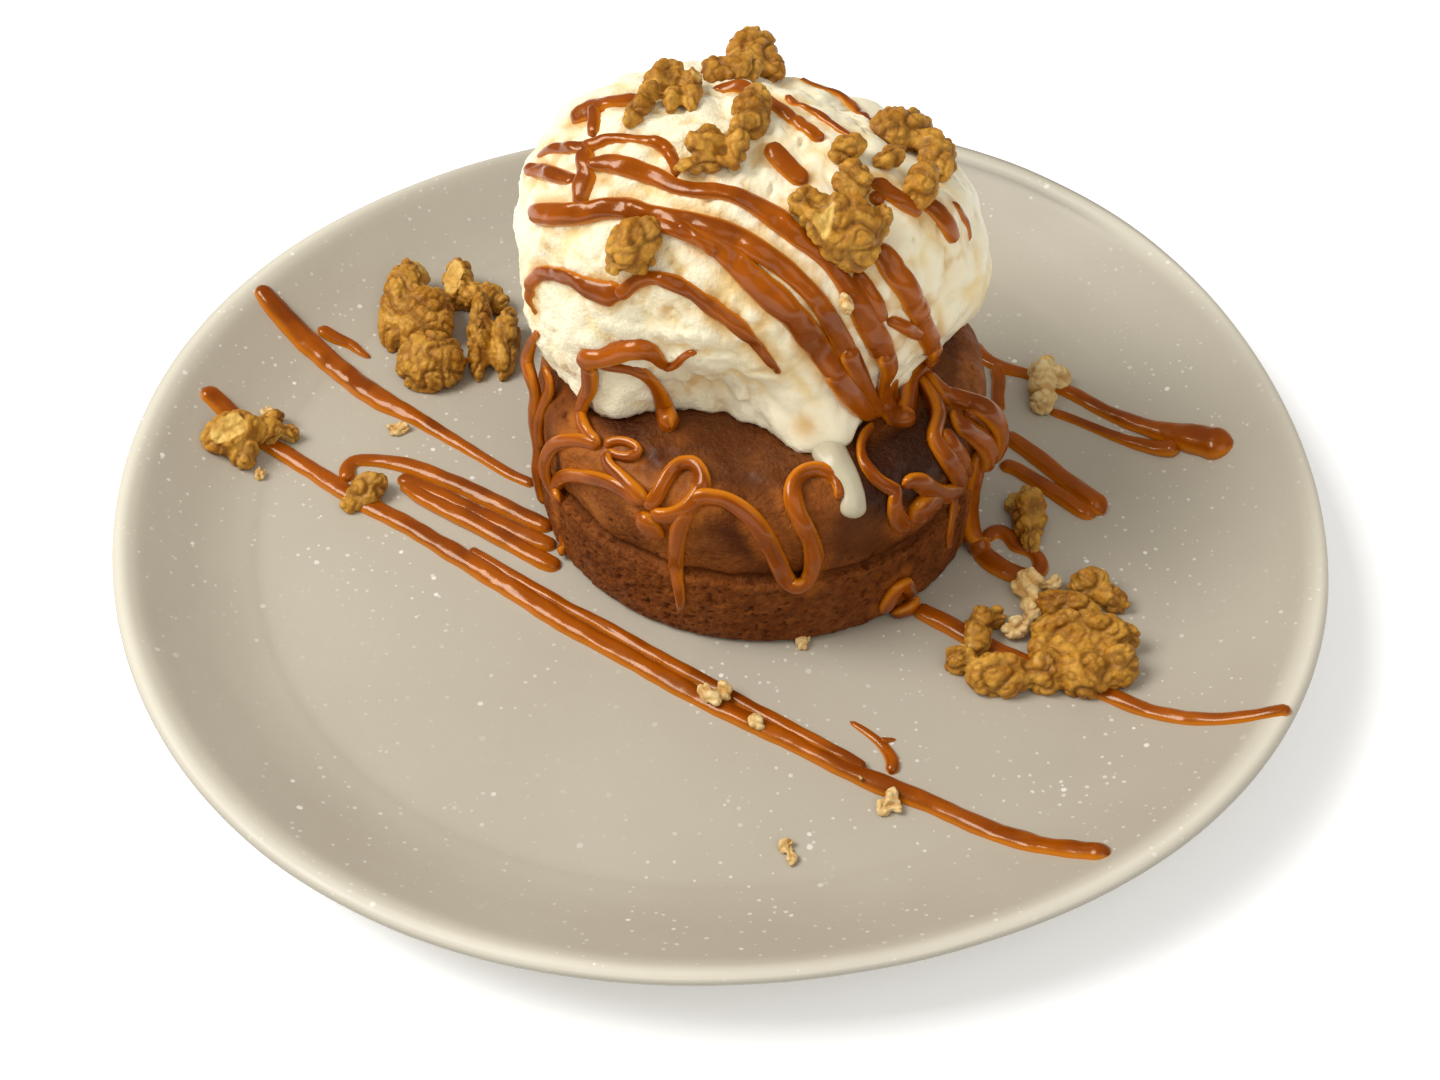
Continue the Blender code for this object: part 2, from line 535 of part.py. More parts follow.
def make_ice_cream(finish, collection):
    """Mound of ice cream seated on the crust, with its melted run and the caramel over it."""
    mesh, way = ball("ice_cream", *SCOOP_STEPS)
    reach = np.minimum(scoop_radius(way), scoop_seat(way))
    settle(mesh, np.array(SCOOP_AT) + way * reach[:, None])
    scoop = add_object("ice_cream", mesh, finish, collection)
    core = BVHTree.FromPolygons([v.co.copy() for v in mesh.vertices], [p.vertices[:] for p in mesh.polygons])
    extras = strands_collection("scoop_strands")
    tube(drip_rows(), extras)
    for route in SCOOP_STRANDS.values():
        rows = np.array(route, dtype=float)
        rows[:, 0] = np.degrees(np.unwrap(np.radians(rows[:, 0])))
        bearing, elevation, half = curve_through(rows, np.degrees(SCOOP_STEP / SCOOP_HALF[0])).T
        points = scoop_point(bearing, elevation, STRAND_LIFT * half)
        clear = points[:, 2] - half > cake_top(points[:, 0], points[:, 1]) + STRAND_AIR
        for nut_bearing, nut_elevation, sizes, *_ in SCOOP_NUTS.values():
            middle = scoop_point(nut_bearing, nut_elevation, np.array(0.0))
            clear &= np.linalg.norm(points - middle, axis=1) > max(sizes[:2]) * NUT_ROOM + STRAND_AIR + half
        for run in clear_runs(np.column_stack([points, half]), clear):
            tube(run, extras)
    join(scoop, extras)
    return core


def nut_shape(name, seed):
    """Unit walnut piece: a ball with folds pushed in and out, and for a half a groove between its lobes."""
    small = max({**SCOOP_NUTS, **PLATE_NUTS}[name][2]) < SMALL_NUT
    mesh, way = ball(name, *(SMALL_NUT_STEPS if small else NUT_STEPS))
    radius = NUT_BALL + sum(deep * lumps(way, long, seed + step) for long, deep, step in NUT_FOLDS)
    if name in GROOVES:
        place, width, depth = GROOVES[name]
        radius -= depth * np.exp(-((way[:, 0] - place) / width) ** 2) * np.clip(GROOVE_END - way[:, 1], 0, 1)
    return mesh, way * radius[:, None]


def make_scoop_nut(name, finish, collection, core):
    """Walnut piece on the mound, turned to face outwards, its underside fitted just off the bare surface."""
    bearing, elevation, sizes, turn, seed = SCOOP_NUTS[name]
    mesh, points = nut_shape(name, seed)
    out = direction(bearing, elevation)
    side = np.array([-np.sin(np.radians(bearing)), np.cos(np.radians(bearing)), 0.0])
    up = np.cross(out, side)
    angle = np.radians(turn)
    along, across = side * np.cos(angle) + up * np.sin(angle), up * np.cos(angle) - side * np.sin(angle)
    points = points * sizes @ np.array([along, across, out])
    points += scoop_point(bearing, elevation, np.array(sizes[2] * SCOOP_NUT_SEAT))
    middle = Vector((np.array(SCOOP_AT) + SHIFT) * MM)
    for index, point in enumerate(points):
        away = point - SCOOP_AT
        reach = np.linalg.norm(away)
        hit = core.ray_cast(middle, Vector(away / reach))
        points[index] += away / reach * max(0.0, hit[3] / MM + TOUCH_GAP * 2 - reach)
    settle(mesh, points)
    add_object(name, mesh, finish, collection)


def make_plate_nut(name, finish, collection):
    """Walnut piece on the plate, flattened where it rests just off the glaze."""
    x, y, sizes, turn, seed = PLATE_NUTS[name]
    mesh, points = nut_shape(name, seed)
    angle = np.radians(turn)
    spin = np.array([[np.cos(angle), np.sin(angle), 0], [-np.sin(angle), np.cos(angle), 0], [0, 0, 1]])
    points = points * sizes @ spin
    points += (x, y, plate_height(x, y) + sizes[2] * PLATE_NUT_SEAT)
    points[:, 2] = np.maximum(points[:, 2], plate_height(points[:, 0], points[:, 1]) + REST_GAP)
    settle(mesh, points)
    add_object(name, mesh, finish, collection)


def main():
    for thing in list(bpy.data.objects):
        bpy.data.objects.remove(thing)
    dessert = bpy.data.collections.new("date_cake_with_caramel")
    bpy.context.scene.collection.children.link(dessert)
    make_plate(material("plate"), dessert)
    make_cake(material("cake"), dessert)
    core = make_ice_cream(material("ice_cream"), dessert)
    walnut = material("walnut")
    for name in SCOOP_NUTS:
        make_scoop_nut(name, walnut, dessert, core)
    for name in PLATE_NUTS:
        make_plate_nut(name, walnut, dessert)


main()
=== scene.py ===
"""Looks of a date cake under ice cream, with walnuts and caramel, on a hand-thrown plate.

Shapes are worked out in millimetres about the middle of the thrown plate, with +Z up and the serving side
at -Y. A piece is one or more grids of points, wrapped round one way and closed at both ends: a turned
profile, a ball pushed in and out along its rays, or a section carried along a route. A walnut piece is a few
stretched balls fused on a grid of voxels, and then shaped at each vertex. The last step of a piece turns it
into metres and moves it so that the plate's box is centred.

The caramel, the walnuts and the crumbs are placed by points read off the picture. The line of sight through
such a point is followed from the eye until it meets the plate, the crust or the mound.
"""
from itertools import product

import bpy
import numpy as np
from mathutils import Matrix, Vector


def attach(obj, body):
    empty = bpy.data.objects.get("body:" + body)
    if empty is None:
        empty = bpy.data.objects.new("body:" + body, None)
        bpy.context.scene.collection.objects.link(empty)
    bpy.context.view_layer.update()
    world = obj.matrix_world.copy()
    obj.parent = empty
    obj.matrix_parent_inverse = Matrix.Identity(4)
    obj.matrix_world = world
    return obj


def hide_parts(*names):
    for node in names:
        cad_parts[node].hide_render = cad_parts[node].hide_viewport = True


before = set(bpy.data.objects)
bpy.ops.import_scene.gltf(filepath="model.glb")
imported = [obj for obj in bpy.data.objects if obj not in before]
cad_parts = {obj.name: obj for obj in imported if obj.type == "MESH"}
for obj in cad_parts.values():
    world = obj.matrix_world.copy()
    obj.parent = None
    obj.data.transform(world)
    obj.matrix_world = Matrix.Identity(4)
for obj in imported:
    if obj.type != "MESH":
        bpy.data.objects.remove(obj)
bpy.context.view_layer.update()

MM = 0.001
TOUCH_GAP = 0.3         # air between two pieces that touch, in mm
LEAST_AIR = 0.1         # least air between a piece and the plate under it, in mm

# The view: where the eye is and what it looks at, in millimetres, and the lens on a 36 mm wide sensor
EYE = (-0.4, -294.4, 303.3)
LOOK_AT = (-0.4, -3.9, 0.0)
LENS = 48.8
SENSOR = 36.0
PICTURE = (1440, 1080)  # the frame in pixels
SIGHT_REACH = (290, 530)    # how far from the eye the food and the plate lie
SIGHT_STEP = 1.0

# Lights: place in m, side in m and power in W. Then the strength of the surroundings where they light,
# where they are mirrored, and where the camera sees them
LIGHTS = [
    ("window", (-0.75, -0.05, 0.95), 0.6, 13.0),
    ("fill", (0.4, -0.7, 0.9), 0.9, 2.5),
]
WORLD_LIGHT = (0.5, 0.14)
WORLD_SEEN = 0.92

# Plate
PLATE_R = 125.0
PLATE_STEPS = 288
PLATE_STEP = 1.4
LIP_AT = 123.6          # radius of the pale band at the lip, and its breadth
LIP_SPREAD = 2.6
FLOOR_Z = 7.0
PLATE_TOP = [(0, FLOOR_Z), (60, FLOOR_Z), (92, 7.2), (100, 8.3), (107, 10.9), (114, 14.8), (120, 18.5),
             (123, 19.9)]
PLATE_LIP = [(124.6, 19.7), (125, 18.6), (123.8, 16.6)]
PLATE_UNDER = [(117, 11.2), (109, 6.2), (98, 3.0), (80, 1.8), (75, 0), (68, 0), (65.5, 1.9), (0, 2.0)]
PLATE_UNEVEN = [(0.25, 38, 71), (0.12, 13, 72)]     # layers of noise: height and size in mm, seed
# The rim is pulled out of round: how far, in waves per turn
PLATE_WAVES = [(2, 0.09, 1.06), (3, -1.06, -0.25), (4, -0.98, -1.16)]

# Cake: a crumbly foot ring, a small step and a smoother domed top
CAKE_AT = (8.2, 7.0)
CAKE_STEPS = 640
CAKE_BASE_Z = 7.3
CAKE_DOME = [(0, 47), (12, 46.9), (24, 46.4), (33, 45.7), (39, 44.8)]
CAKE_R = 45.5
RING_R = 47.0
SEAM_AT = 62.0              # distance along the profile of the torn seam between top and ring
RING_FROM = (61.4, 62.6)    # distances over which the ring's look comes in, and over which it ends
RING_TO = (81.3, 82.5)
# Layers of noise: height and size in mm, seed
CRUST_DENTS = [(0.7, 11, 21), (0.32, 4.2, 22), (0.12, 1.6, 23)]
RING_CRUMBS = [(0.25, 3.0, 27), (0.18, 1.1, 28)]
# The patch below is darker partly as syrup and partly as painted shade under the overhang of the ice cream
WET_SHADE_AT = (311, 43)          # the syrup-wet patch: bearing and distance over the crust, then its reach
WET_SHADE_REACH = (22, 10)
CAKE_WALL = [(42.6, 43.2), (44.8, 40.6), (CAKE_R, 37.5), (45.6, 30), (45.3, 25.5), (45.0, 24.6), (46.6, 24.0),
             (RING_R, 22.5), (46.9, 12), (46.4, 7.9), (45.8, CAKE_BASE_Z), (0, CAKE_BASE_Z)]
CAKE_SIDE = CAKE_DOME + CAKE_WALL

# Ice cream: a squarish mound, pushed out or in towards some bearings
SCOOP_AT = (7.0, 14.0, 67.0)
SCOOP_HALF = (42.0, 36.5)
SCOOP_UP = 32.0
SCOOP_DOWN = 44.0
SCOOP_SQUARE = 2.3
SCOOP_STEPS = (540, 170)
# bearing, elevation, spread in degrees, height in mm
SCOOP_BUMPS = [(25, 38, 28, -6.9), (75, 55, 28, -3.2), (185, 30, 30, 5.3), (0, -5, 30, 4.9),
               (180, -20, 30, 4.8), (-45, -25, 25, -2.3), (-110, -25, 25, -4.2), (224, -28, 10, 4.5),
               (248, -28, 16, -3.5), (290, -30, 12, 6.0), (335, -25, 14, -3.5), (205, -25, 12, 1.5)]
SCOOP_LUMPS = [(17.0, 1.5, 4), (8.0, 0.6, 9)]      # size and height in mm, seed
FROTH = [(0.24, 1.5, 34), (0.13, 0.8, 35)]
# The hem spreads in lobes over the crust: bearing, elevation, spread in degrees, height in mm
HEM_LOBES = [(-67, -30, 9, 3.0), (-80, -31, 7, 2.0), (-97, -33, 7, 1.2), (-118, -34, 6, 1.5),
             (-143, -32, 6, 1.5)]

# Places below are read off the picture, in pixels of its 1440 by 1080 frame: across, then down.
# Each strand's third number is its half width in mm. A fourth is its height over the table in mm, where it
# hangs clear of the food.

# Melted ice cream that runs down the crust
DRIP = [(824, 434, 3.7), (831, 450, 3.5), (840, 465, 3.1), (850, 480, 2.5), (855, 495, 2.3), (855, 510, 2.5),
        (854, 521, 2.3)]

# Caramel on the plate
PLATE_STRANDS = {
    "upper_left": [(258, 284, 2.3), (272, 302, 2.7), (288, 320, 2.9), (305, 338, 3), (324, 355, 2.9),
        (345, 372, 2.9), (366, 388, 2.9), (388, 402, 2.7), (410, 413, 2.2), (435, 428, 1.8),
        (460, 443, 1.6), (485, 458, 1.4), (510, 473, 1.4), (535, 484, 1.3)],
    "spur_left": [(318, 326, 1.6), (334, 336, 1.6), (350, 343, 1.4), (362, 352, 0.9), (370, 357, 0.5)],
    "front": [(202, 386, 2.2), (213, 396, 2.4), (226, 408, 2.4), (240, 420, 2.2), (262, 438, 2.2),
        (285, 452, 2.2), (310, 468, 2.2), (335, 484, 2.2), (360, 500, 2.2), (385, 512, 2.2),
        (410, 525, 2.2), (440, 543, 2.3), (470, 561, 2.4), (500, 580, 2.4), (530, 598, 2.4),
        (560, 618, 2.4), (600, 640, 2.3), (640, 662, 2.3), (680, 685, 2.2), (712, 702, 2.1),
        (745, 718, 2.1), (775, 732, 2.1), (805, 746, 2.1), (835, 761, 2.2), (865, 776, 2.2),
        (900, 790, 2.2), (940, 806, 2.1), (975, 822, 2.1), (1005, 834, 2.2), (1040, 844, 2.2),
        (1075, 849, 2.2), (1100, 851, 2.4), (1110, 853, 2.2)],
    "front_upper": [(470, 548, 1), (510, 574, 1.2), (560, 602, 1.3), (600, 622, 1.4), (640, 645, 1.5),
        (680, 667, 1.5), (720, 688, 1.4), (760, 711, 1.4), (800, 734, 1.4), (840, 756, 1.3),
        (866, 769, 1.1)],
    "spur_front": [(850, 721, 0.5), (866, 731, 0.8), (879, 741, 1), (888, 751, 1.2), (893, 762, 1.3),
        (891, 773, 1.3)],
    "spur_tip": [(896, 739, 0.4), (888, 740, 0.6), (880, 741, 0.8)],
    "hairpin_outer": [(348, 480, 1.7), (347, 468, 1.7), (354, 460, 1.7), (370, 459, 1.7), (390, 461, 1.9),
        (410, 465, 2.1), (435, 474, 2.1), (460, 484, 2.1), (485, 496, 2.1), (510, 508, 2.1), (535, 520, 2),
        (552, 528, 1.8)],
    "hairpin_middle": [(398, 476, 1.6), (415, 483, 1.9), (440, 494, 2.1), (465, 506, 2.2), (490, 518, 2.2),
        (515, 529, 2.2), (540, 540, 2.1), (556, 546, 1.8)],
    "hairpin_inner": [(402, 484, 1.4), (420, 496, 1.8), (445, 509, 2), (470, 521, 2.1), (495, 534, 2.1),
        (520, 547, 2.1), (545, 560, 2.2), (560, 566, 2)],
    "right_upper": [(974, 342, 1.6), (982, 354, 1.8), (995, 363, 1.9), (1012, 369, 1.7), (1030, 374, 1.5),
        (1063, 388, 1.8), (1080, 396, 1.9), (1100, 407, 2), (1125, 418, 2.1), (1150, 426, 2.4),
        (1175, 432, 3), (1200, 437, 3.8), (1218, 440, 4.2), (1234, 440, 3.6)],
    "right_stem": [(996, 366, 1.6), (999, 380, 1.6), (998, 394, 1.5), (1000, 410, 1.4)],
    "right_lower": [(1050, 410, 1.1), (1072, 418, 1.2), (1095, 427, 1.3), (1120, 437, 1.5),
        (1150, 445, 1.8), (1180, 448, 2.4)],
    "tongue_lower": [(1000, 463, 1.8), (1015, 467, 1.9), (1032, 477, 1.9), (1050, 488, 2), (1066, 498, 2.1),
        (1082, 508, 2.2), (1096, 514, 2.2)],
    "tongue_upper": [(1003, 432, 2), (1018, 442, 2.1), (1035, 454, 2.2), (1053, 468, 2.2), (1070, 482, 2.3),
        (1085, 495, 2.5), (1098, 506, 2.6), (1104, 512, 2.3)],
    "curl": [(978, 542, 2.2), (984, 553, 2.4), (994, 562, 2.4), (1006, 569, 2.4), (1020, 574, 2.2),
        (1033, 574, 1.9), (1041, 567, 1.7), (1038, 556, 1.6), (1028, 549, 1.5), (1016, 546, 1.5),
        (1010, 536, 1.7), (1000, 530, 1.9), (990, 533, 1.6), (986, 541, 1.3)],
    "right_front": [(915, 606, 2.2), (930, 614, 2.2), (950, 624, 2.2), (975, 638, 2.2), (1000, 650, 1.9),
        (1040, 666, 1.9), (1080, 682, 1.9), (1110, 694, 1.9), (1135, 704, 1.8), (1165, 713, 1.7),
        (1200, 718, 1.6), (1235, 717, 1.5), (1262, 713, 1.4), (1284, 709, 1.4), (1292, 711, 1.2)],
}

# Caramel on the ice cream, drawn at a share of the half width that was read off
SCOOP_SHARE = 0.86
SCOOP_STRANDS = {
    "back_left": [(566, 119, 1.8), (578, 110, 2.3), (592, 104, 2.5), (608, 99, 2.4), (624, 96, 2.3),
        (640, 92, 1.9)],
    "back_link": [(591, 108, 1.7), (594, 122, 1.6), (592, 136, 1.5)],
    "upper_left": [(535, 153, 1.1), (548, 147, 1.4), (568, 146, 1.5), (588, 144, 1.4), (604, 138, 1.2),
        (624, 136, 1.2), (645, 138, 1.3), (660, 143, 1.5), (668, 152, 1.5), (674, 164, 1.2),
        (675, 176, 0.8)],
    "left_short": [(524, 168, 1.5), (540, 170, 1.8), (556, 175, 1.7), (572, 179, 1.4)],
    "link_left": [(583, 146, 1.4), (581, 162, 2), (580, 180, 2.1), (580, 196, 1.8), (578, 206, 1.4)],
    "long_upper": [(588, 166, 1.5), (602, 161, 2.1), (620, 164, 2.3), (640, 170, 2.2), (656, 176, 2),
        (672, 184, 1.8), (692, 188, 1.8), (716, 190, 1.9), (738, 195, 2), (760, 206, 2.3), (778, 218, 2.5),
        (794, 232, 2.3), (810, 246, 1.9), (826, 260, 1.7), (842, 278, 1.9), (856, 298, 2.3),
        (868, 318, 2.6), (879, 340, 2.7), (888, 362, 2.3)],
    "long_middle": [(528, 214, 1.8), (540, 214, 2.5), (556, 214, 2.6), (578, 213, 2.3), (600, 208, 2.3),
        (622, 207, 2.4), (642, 212, 2.1), (660, 216, 2.1), (682, 220, 2.2), (704, 226, 2.4),
        (724, 233, 2.6), (744, 242, 2.6), (764, 254, 2.4), (784, 268, 2.2), (802, 284, 2.1),
        (818, 301, 2.1), (832, 322, 2.2), (844, 344, 2.3), (853, 366, 2.2)],
    "broad": [(652, 222, 1.4), (672, 228, 1.6), (694, 236, 1.8), (714, 246, 2.1), (732, 260, 2.6),
        (748, 276, 3), (764, 292, 3.3), (782, 308, 3.3), (800, 326, 3.1), (816, 346, 2.9), (830, 366, 2.6),
        (842, 384, 2.3)],
    "left_low": [(531, 316, 0.9), (527, 300, 1.2), (527, 284, 1.5), (536, 275, 1.7), (550, 275, 1.8),
        (566, 280, 2), (582, 288, 2.3), (598, 294, 2.6), (612, 297, 2.6), (618, 300, 2.2)],
    "front": [(618, 298, 1.6), (628, 287, 1.6), (642, 280, 1.6), (658, 279, 1.6), (676, 286, 1.7),
        (692, 296, 1.8), (708, 308, 1.9), (722, 318, 1.9), (736, 328, 1.9), (748, 340, 1.6),
        (760, 352, 1.3), (772, 366, 1), (780, 376, 0.7)],
    "top": [(712, 84, 1.2), (736, 84, 1.5), (756, 89, 1.7), (772, 100, 1.7), (788, 111, 1.6),
        (804, 122, 1.6), (818, 134, 1.7), (824, 139, 1.4)],
    "top_short": [(768, 140, 1.9), (778, 151, 2.3), (790, 164, 2.4), (801, 175, 2.3), (808, 182, 2)],
    "crest_front": [(786, 94, 0.9), (802, 103, 1), (820, 114, 1.1), (840, 127, 1.1), (858, 139, 0.9)],
    "crest_back": [(800, 80, 0.8), (820, 84, 1), (840, 92, 1.3), (856, 104, 1.4), (870, 116, 1.4),
        (880, 122, 1.2)],
    "right_under": [(878, 176, 1.8), (892, 190, 2.2), (908, 203, 2), (924, 213, 1.6)],
    "right": [(926, 200, 1.5), (937, 209, 1.9), (946, 220, 2.1), (953, 232, 1.8), (957, 242, 1.2)],
    "right_outer": [(950, 202, 0.8), (961, 213, 1), (969, 226, 1), (972, 241, 0.7)],
    "right_stub": [(878, 190, 1.6), (880, 206, 1.3)],
    "right_long": [(880, 244, 2), (890, 258, 2.5), (902, 276, 2.7), (914, 296, 2.7), (924, 316, 2.7),
        (931, 336, 2.4), (933, 354, 2)],
    "last": [(858, 272, 1.3), (870, 288, 1.5), (878, 306, 1.6), (884, 324, 1.5)],
    "tail": [(889, 321, 1), (898, 324, 1.5), (910, 330, 1.6), (922, 337, 1.4)],
    "front_short": [(680, 222, 0.9), (700, 238, 1.2), (718, 254, 1.4)],
}

# Caramel that falls from the ice cream to the cake, lies on it or runs down its side
FREE_STRANDS = {
    "lip_arch": [(583, 366, 1.9), (588, 358, 2.2), (602, 357, 2.1), (616, 353, 2.2), (632, 348, 2.4),
        (645, 349, 2.2), (655, 356, 1.6), (661, 363, 1.2), (668, 367, 1), (676, 364, 0.9), (683, 357, 0.8),
        (690, 353, 0.7), (697, 353, 0.5)],
    "lip_fall": [(598, 363, 1.3), (612, 366, 1.2), (630, 369, 1.1), (643, 374, 1.3), (653, 383, 1.5),
        (660, 394, 1.7), (664, 406, 2), (667, 418, 2.6), (671, 429, 3)],
    "lip_corner": [(588, 362, 1.9), (590, 375, 2), (590, 387, 1.9), (584, 399, 1.7), (581, 411, 1.6),
        (583, 424, 1.7), (590, 436, 1.6), (600, 445, 1.6)],
    "left_fall": [(537, 333, 0.9), (530, 348, 1.5), (527, 362, 1.8, 47), (531, 378, 1.7, 45),
        (535, 392, 1.6, 41.5), (534, 408, 1.5, 37), (534, 424, 1.5, 32), (537, 440, 1.5, 27.5),
        (538, 455, 1.5, 23), (537, 470, 1.5, 18.5), (540, 486, 1.6, 13.5), (546, 503, 1.8, 9)],
    "left_inner": [(543, 366, 0.8, 47), (549, 378, 1.2, 46), (550, 390, 1.3, 43.5), (544, 402, 1.3, 40),
        (540, 416, 1.3, 36), (539, 430, 1.3, 31.5), (541, 446, 1.4, 27)],
    "fall_broad": [(832, 366, 2.7), (842, 382, 2.6), (852, 396, 2.5), (862, 407, 2.3), (874, 413, 1.9)],
    "fall_middle": [(846, 348, 2.2), (856, 368, 2), (864, 386, 1.9), (870, 402, 2), (878, 413, 2)],
    "fall_upper": [(884, 352, 2.4), (889, 368, 2), (884, 384, 1.6), (884, 398, 1.9), (890, 411, 2.4),
        (902, 418, 2.6), (916, 417, 2.2)],
    "fall_right": [(934, 346, 2.2), (930, 360, 1.9), (920, 370, 1.9), (911, 381, 2.1), (908, 394, 2.4),
        (906, 408, 2.6), (900, 418, 2.3)],
    "pool_light": [(895, 378, 0.9), (893, 392, 1.2), (896, 406, 1.6)],
    "corner_left": [(600, 446, 1.5), (584, 441, 1.5), (566, 441, 1.5), (553, 446, 1.5, 38),
        (546, 458, 1.5, 33.5), (545, 472, 1.5, 28.5), (550, 484, 1.6, 25), (557, 496, 1.6, 22),
        (562, 512, 1.6, 17.5), (565, 530, 1.6, 13), (564, 546, 1.5, 9.5), (561, 556, 1.5, 8.2)],
    "ribbon_outer": [(926, 374, 1.9), (938, 388, 2), (952, 397, 2), (968, 402, 2.1), (983, 408, 2.3, 43),
        (994, 418, 2.4, 40), (1000, 432, 2.3, 36), (998, 448, 2.2, 31), (990, 462, 2.2, 27)],
    "ribbon_inner": [(952, 410, 1.7), (960, 424, 1.9), (973, 434, 2.1), (984, 443, 2.3, 36),
        (989, 456, 2.3, 31.5), (984, 468, 2.1, 27)],
    "ribbon_fold": [(966, 412, 1.5), (978, 416, 1.6), (987, 425, 1.6, 38), (989, 436, 1.5, 35)],
    "side_right": [(980, 446, 2, 33), (975, 466, 2.5, 28), (971, 486, 2.6, 22.5), (969, 506, 2.6, 17),
        (970, 526, 2.6, 12), (976, 543, 2.5, 8.8), (988, 553, 2.4, 8.2)],
    "triangle": [(884, 612, 1.5), (889, 600, 1.8), (897, 588, 1.9), (904, 584, 1.9), (908, 594, 1.9, 9.5),
        (912, 605, 2, 8.4), (902, 611, 1.8, 8.2), (891, 614, 1.5, 8.2)],
    "snake_right": [(920, 378, 1.8), (928, 390, 2), (935, 402, 2.1), (938, 415, 2.1), (935, 428, 2),
        (934, 438, 1.9), (941, 450, 1.9), (949, 461, 2), (956, 472, 2.1), (959, 483, 2.1), (953, 492, 2.1),
        (941, 494, 2.1), (929, 489, 2), (920, 482, 1.9), (910, 481, 1.7), (902, 486, 1.5)],
    "lump_right": [(940, 500, 2), (926, 504, 2.6), (918, 510, 2.8), (924, 517, 2.2)],
    "hook_right": [(874, 424, 1), (866, 432, 1.1), (861, 443, 1.2), (862, 456, 1.3), (868, 468, 1.3),
        (877, 479, 1.3), (887, 486, 1.4), (896, 491, 1.4), (895, 502, 1.6), (896, 514, 1.8), (902, 524, 2),
        (908, 526, 1.7)],
    "thin_right": [(955, 496, 1.1), (952, 512, 1), (950, 530, 0.9), (949, 548, 0.8)],
    "side_dark": [(944, 428, 1.6), (952, 444, 1.8), (962, 460, 1.8), (968, 474, 1.8)],
    "inner_left": [(642, 503, 2), (630, 494, 1.9), (618, 486, 1.8), (602, 480, 1.6), (584, 477, 1.6),
        (568, 476, 1.6), (558, 481, 1.6), (556, 490, 1.6), (560, 502, 1.5)],
    "ring_flat": [(604, 446, 1.1), (616, 441, 1), (630, 443, 1.1), (639, 450, 1.1), (632, 457, 1.1),
        (618, 456, 1), (607, 451, 1)],
    "slope_left": [(606, 452, 1.4), (608, 464, 1.5), (620, 476, 1.7), (634, 490, 1.9), (646, 504, 2)],
    "loop": [(646, 508, 1.7), (656, 497, 1.5), (663, 484, 1.4), (671, 471, 1.4), (682, 463, 1.6),
        (693, 463, 1.7), (701, 472, 1.7), (702, 486, 1.8), (696, 498, 1.8), (687, 508, 1.8),
        (676, 514, 1.7), (662, 516, 1.8), (650, 512, 1.7)],
    "loop_drip": [(690, 506, 1.7), (683, 518, 1.7), (678, 532, 1.7), (676, 550, 1.6), (676, 568, 1.5),
        (678, 584, 1.3), (680, 598, 1.1), (680, 610, 0.7)],
    "film_left": [(640, 512, 2.6), (650, 526, 2.4), (662, 540, 1.4)],
    "wave": [(690, 503, 1.6), (700, 497, 1.8), (712, 497, 1.8), (726, 500, 1.8), (740, 508, 1.9),
        (752, 518, 1.9), (762, 532, 1.9), (770, 546, 1.9), (777, 560, 1.9), (783, 574, 1.9),
        (789, 583, 1.9), (797, 587, 1.9), (806, 582, 1.9), (812, 571, 1.9), (814, 556, 1.9),
        (811, 541, 1.8), (804, 526, 1.8), (797, 512, 1.8), (793, 498, 1.8), (793, 486, 1.8),
        (798, 476, 1.7), (808, 470, 1.7), (820, 469, 1.6), (831, 473, 1.5), (838, 482, 1.4),
        (840, 492, 1.3), (837, 500, 1)],
}

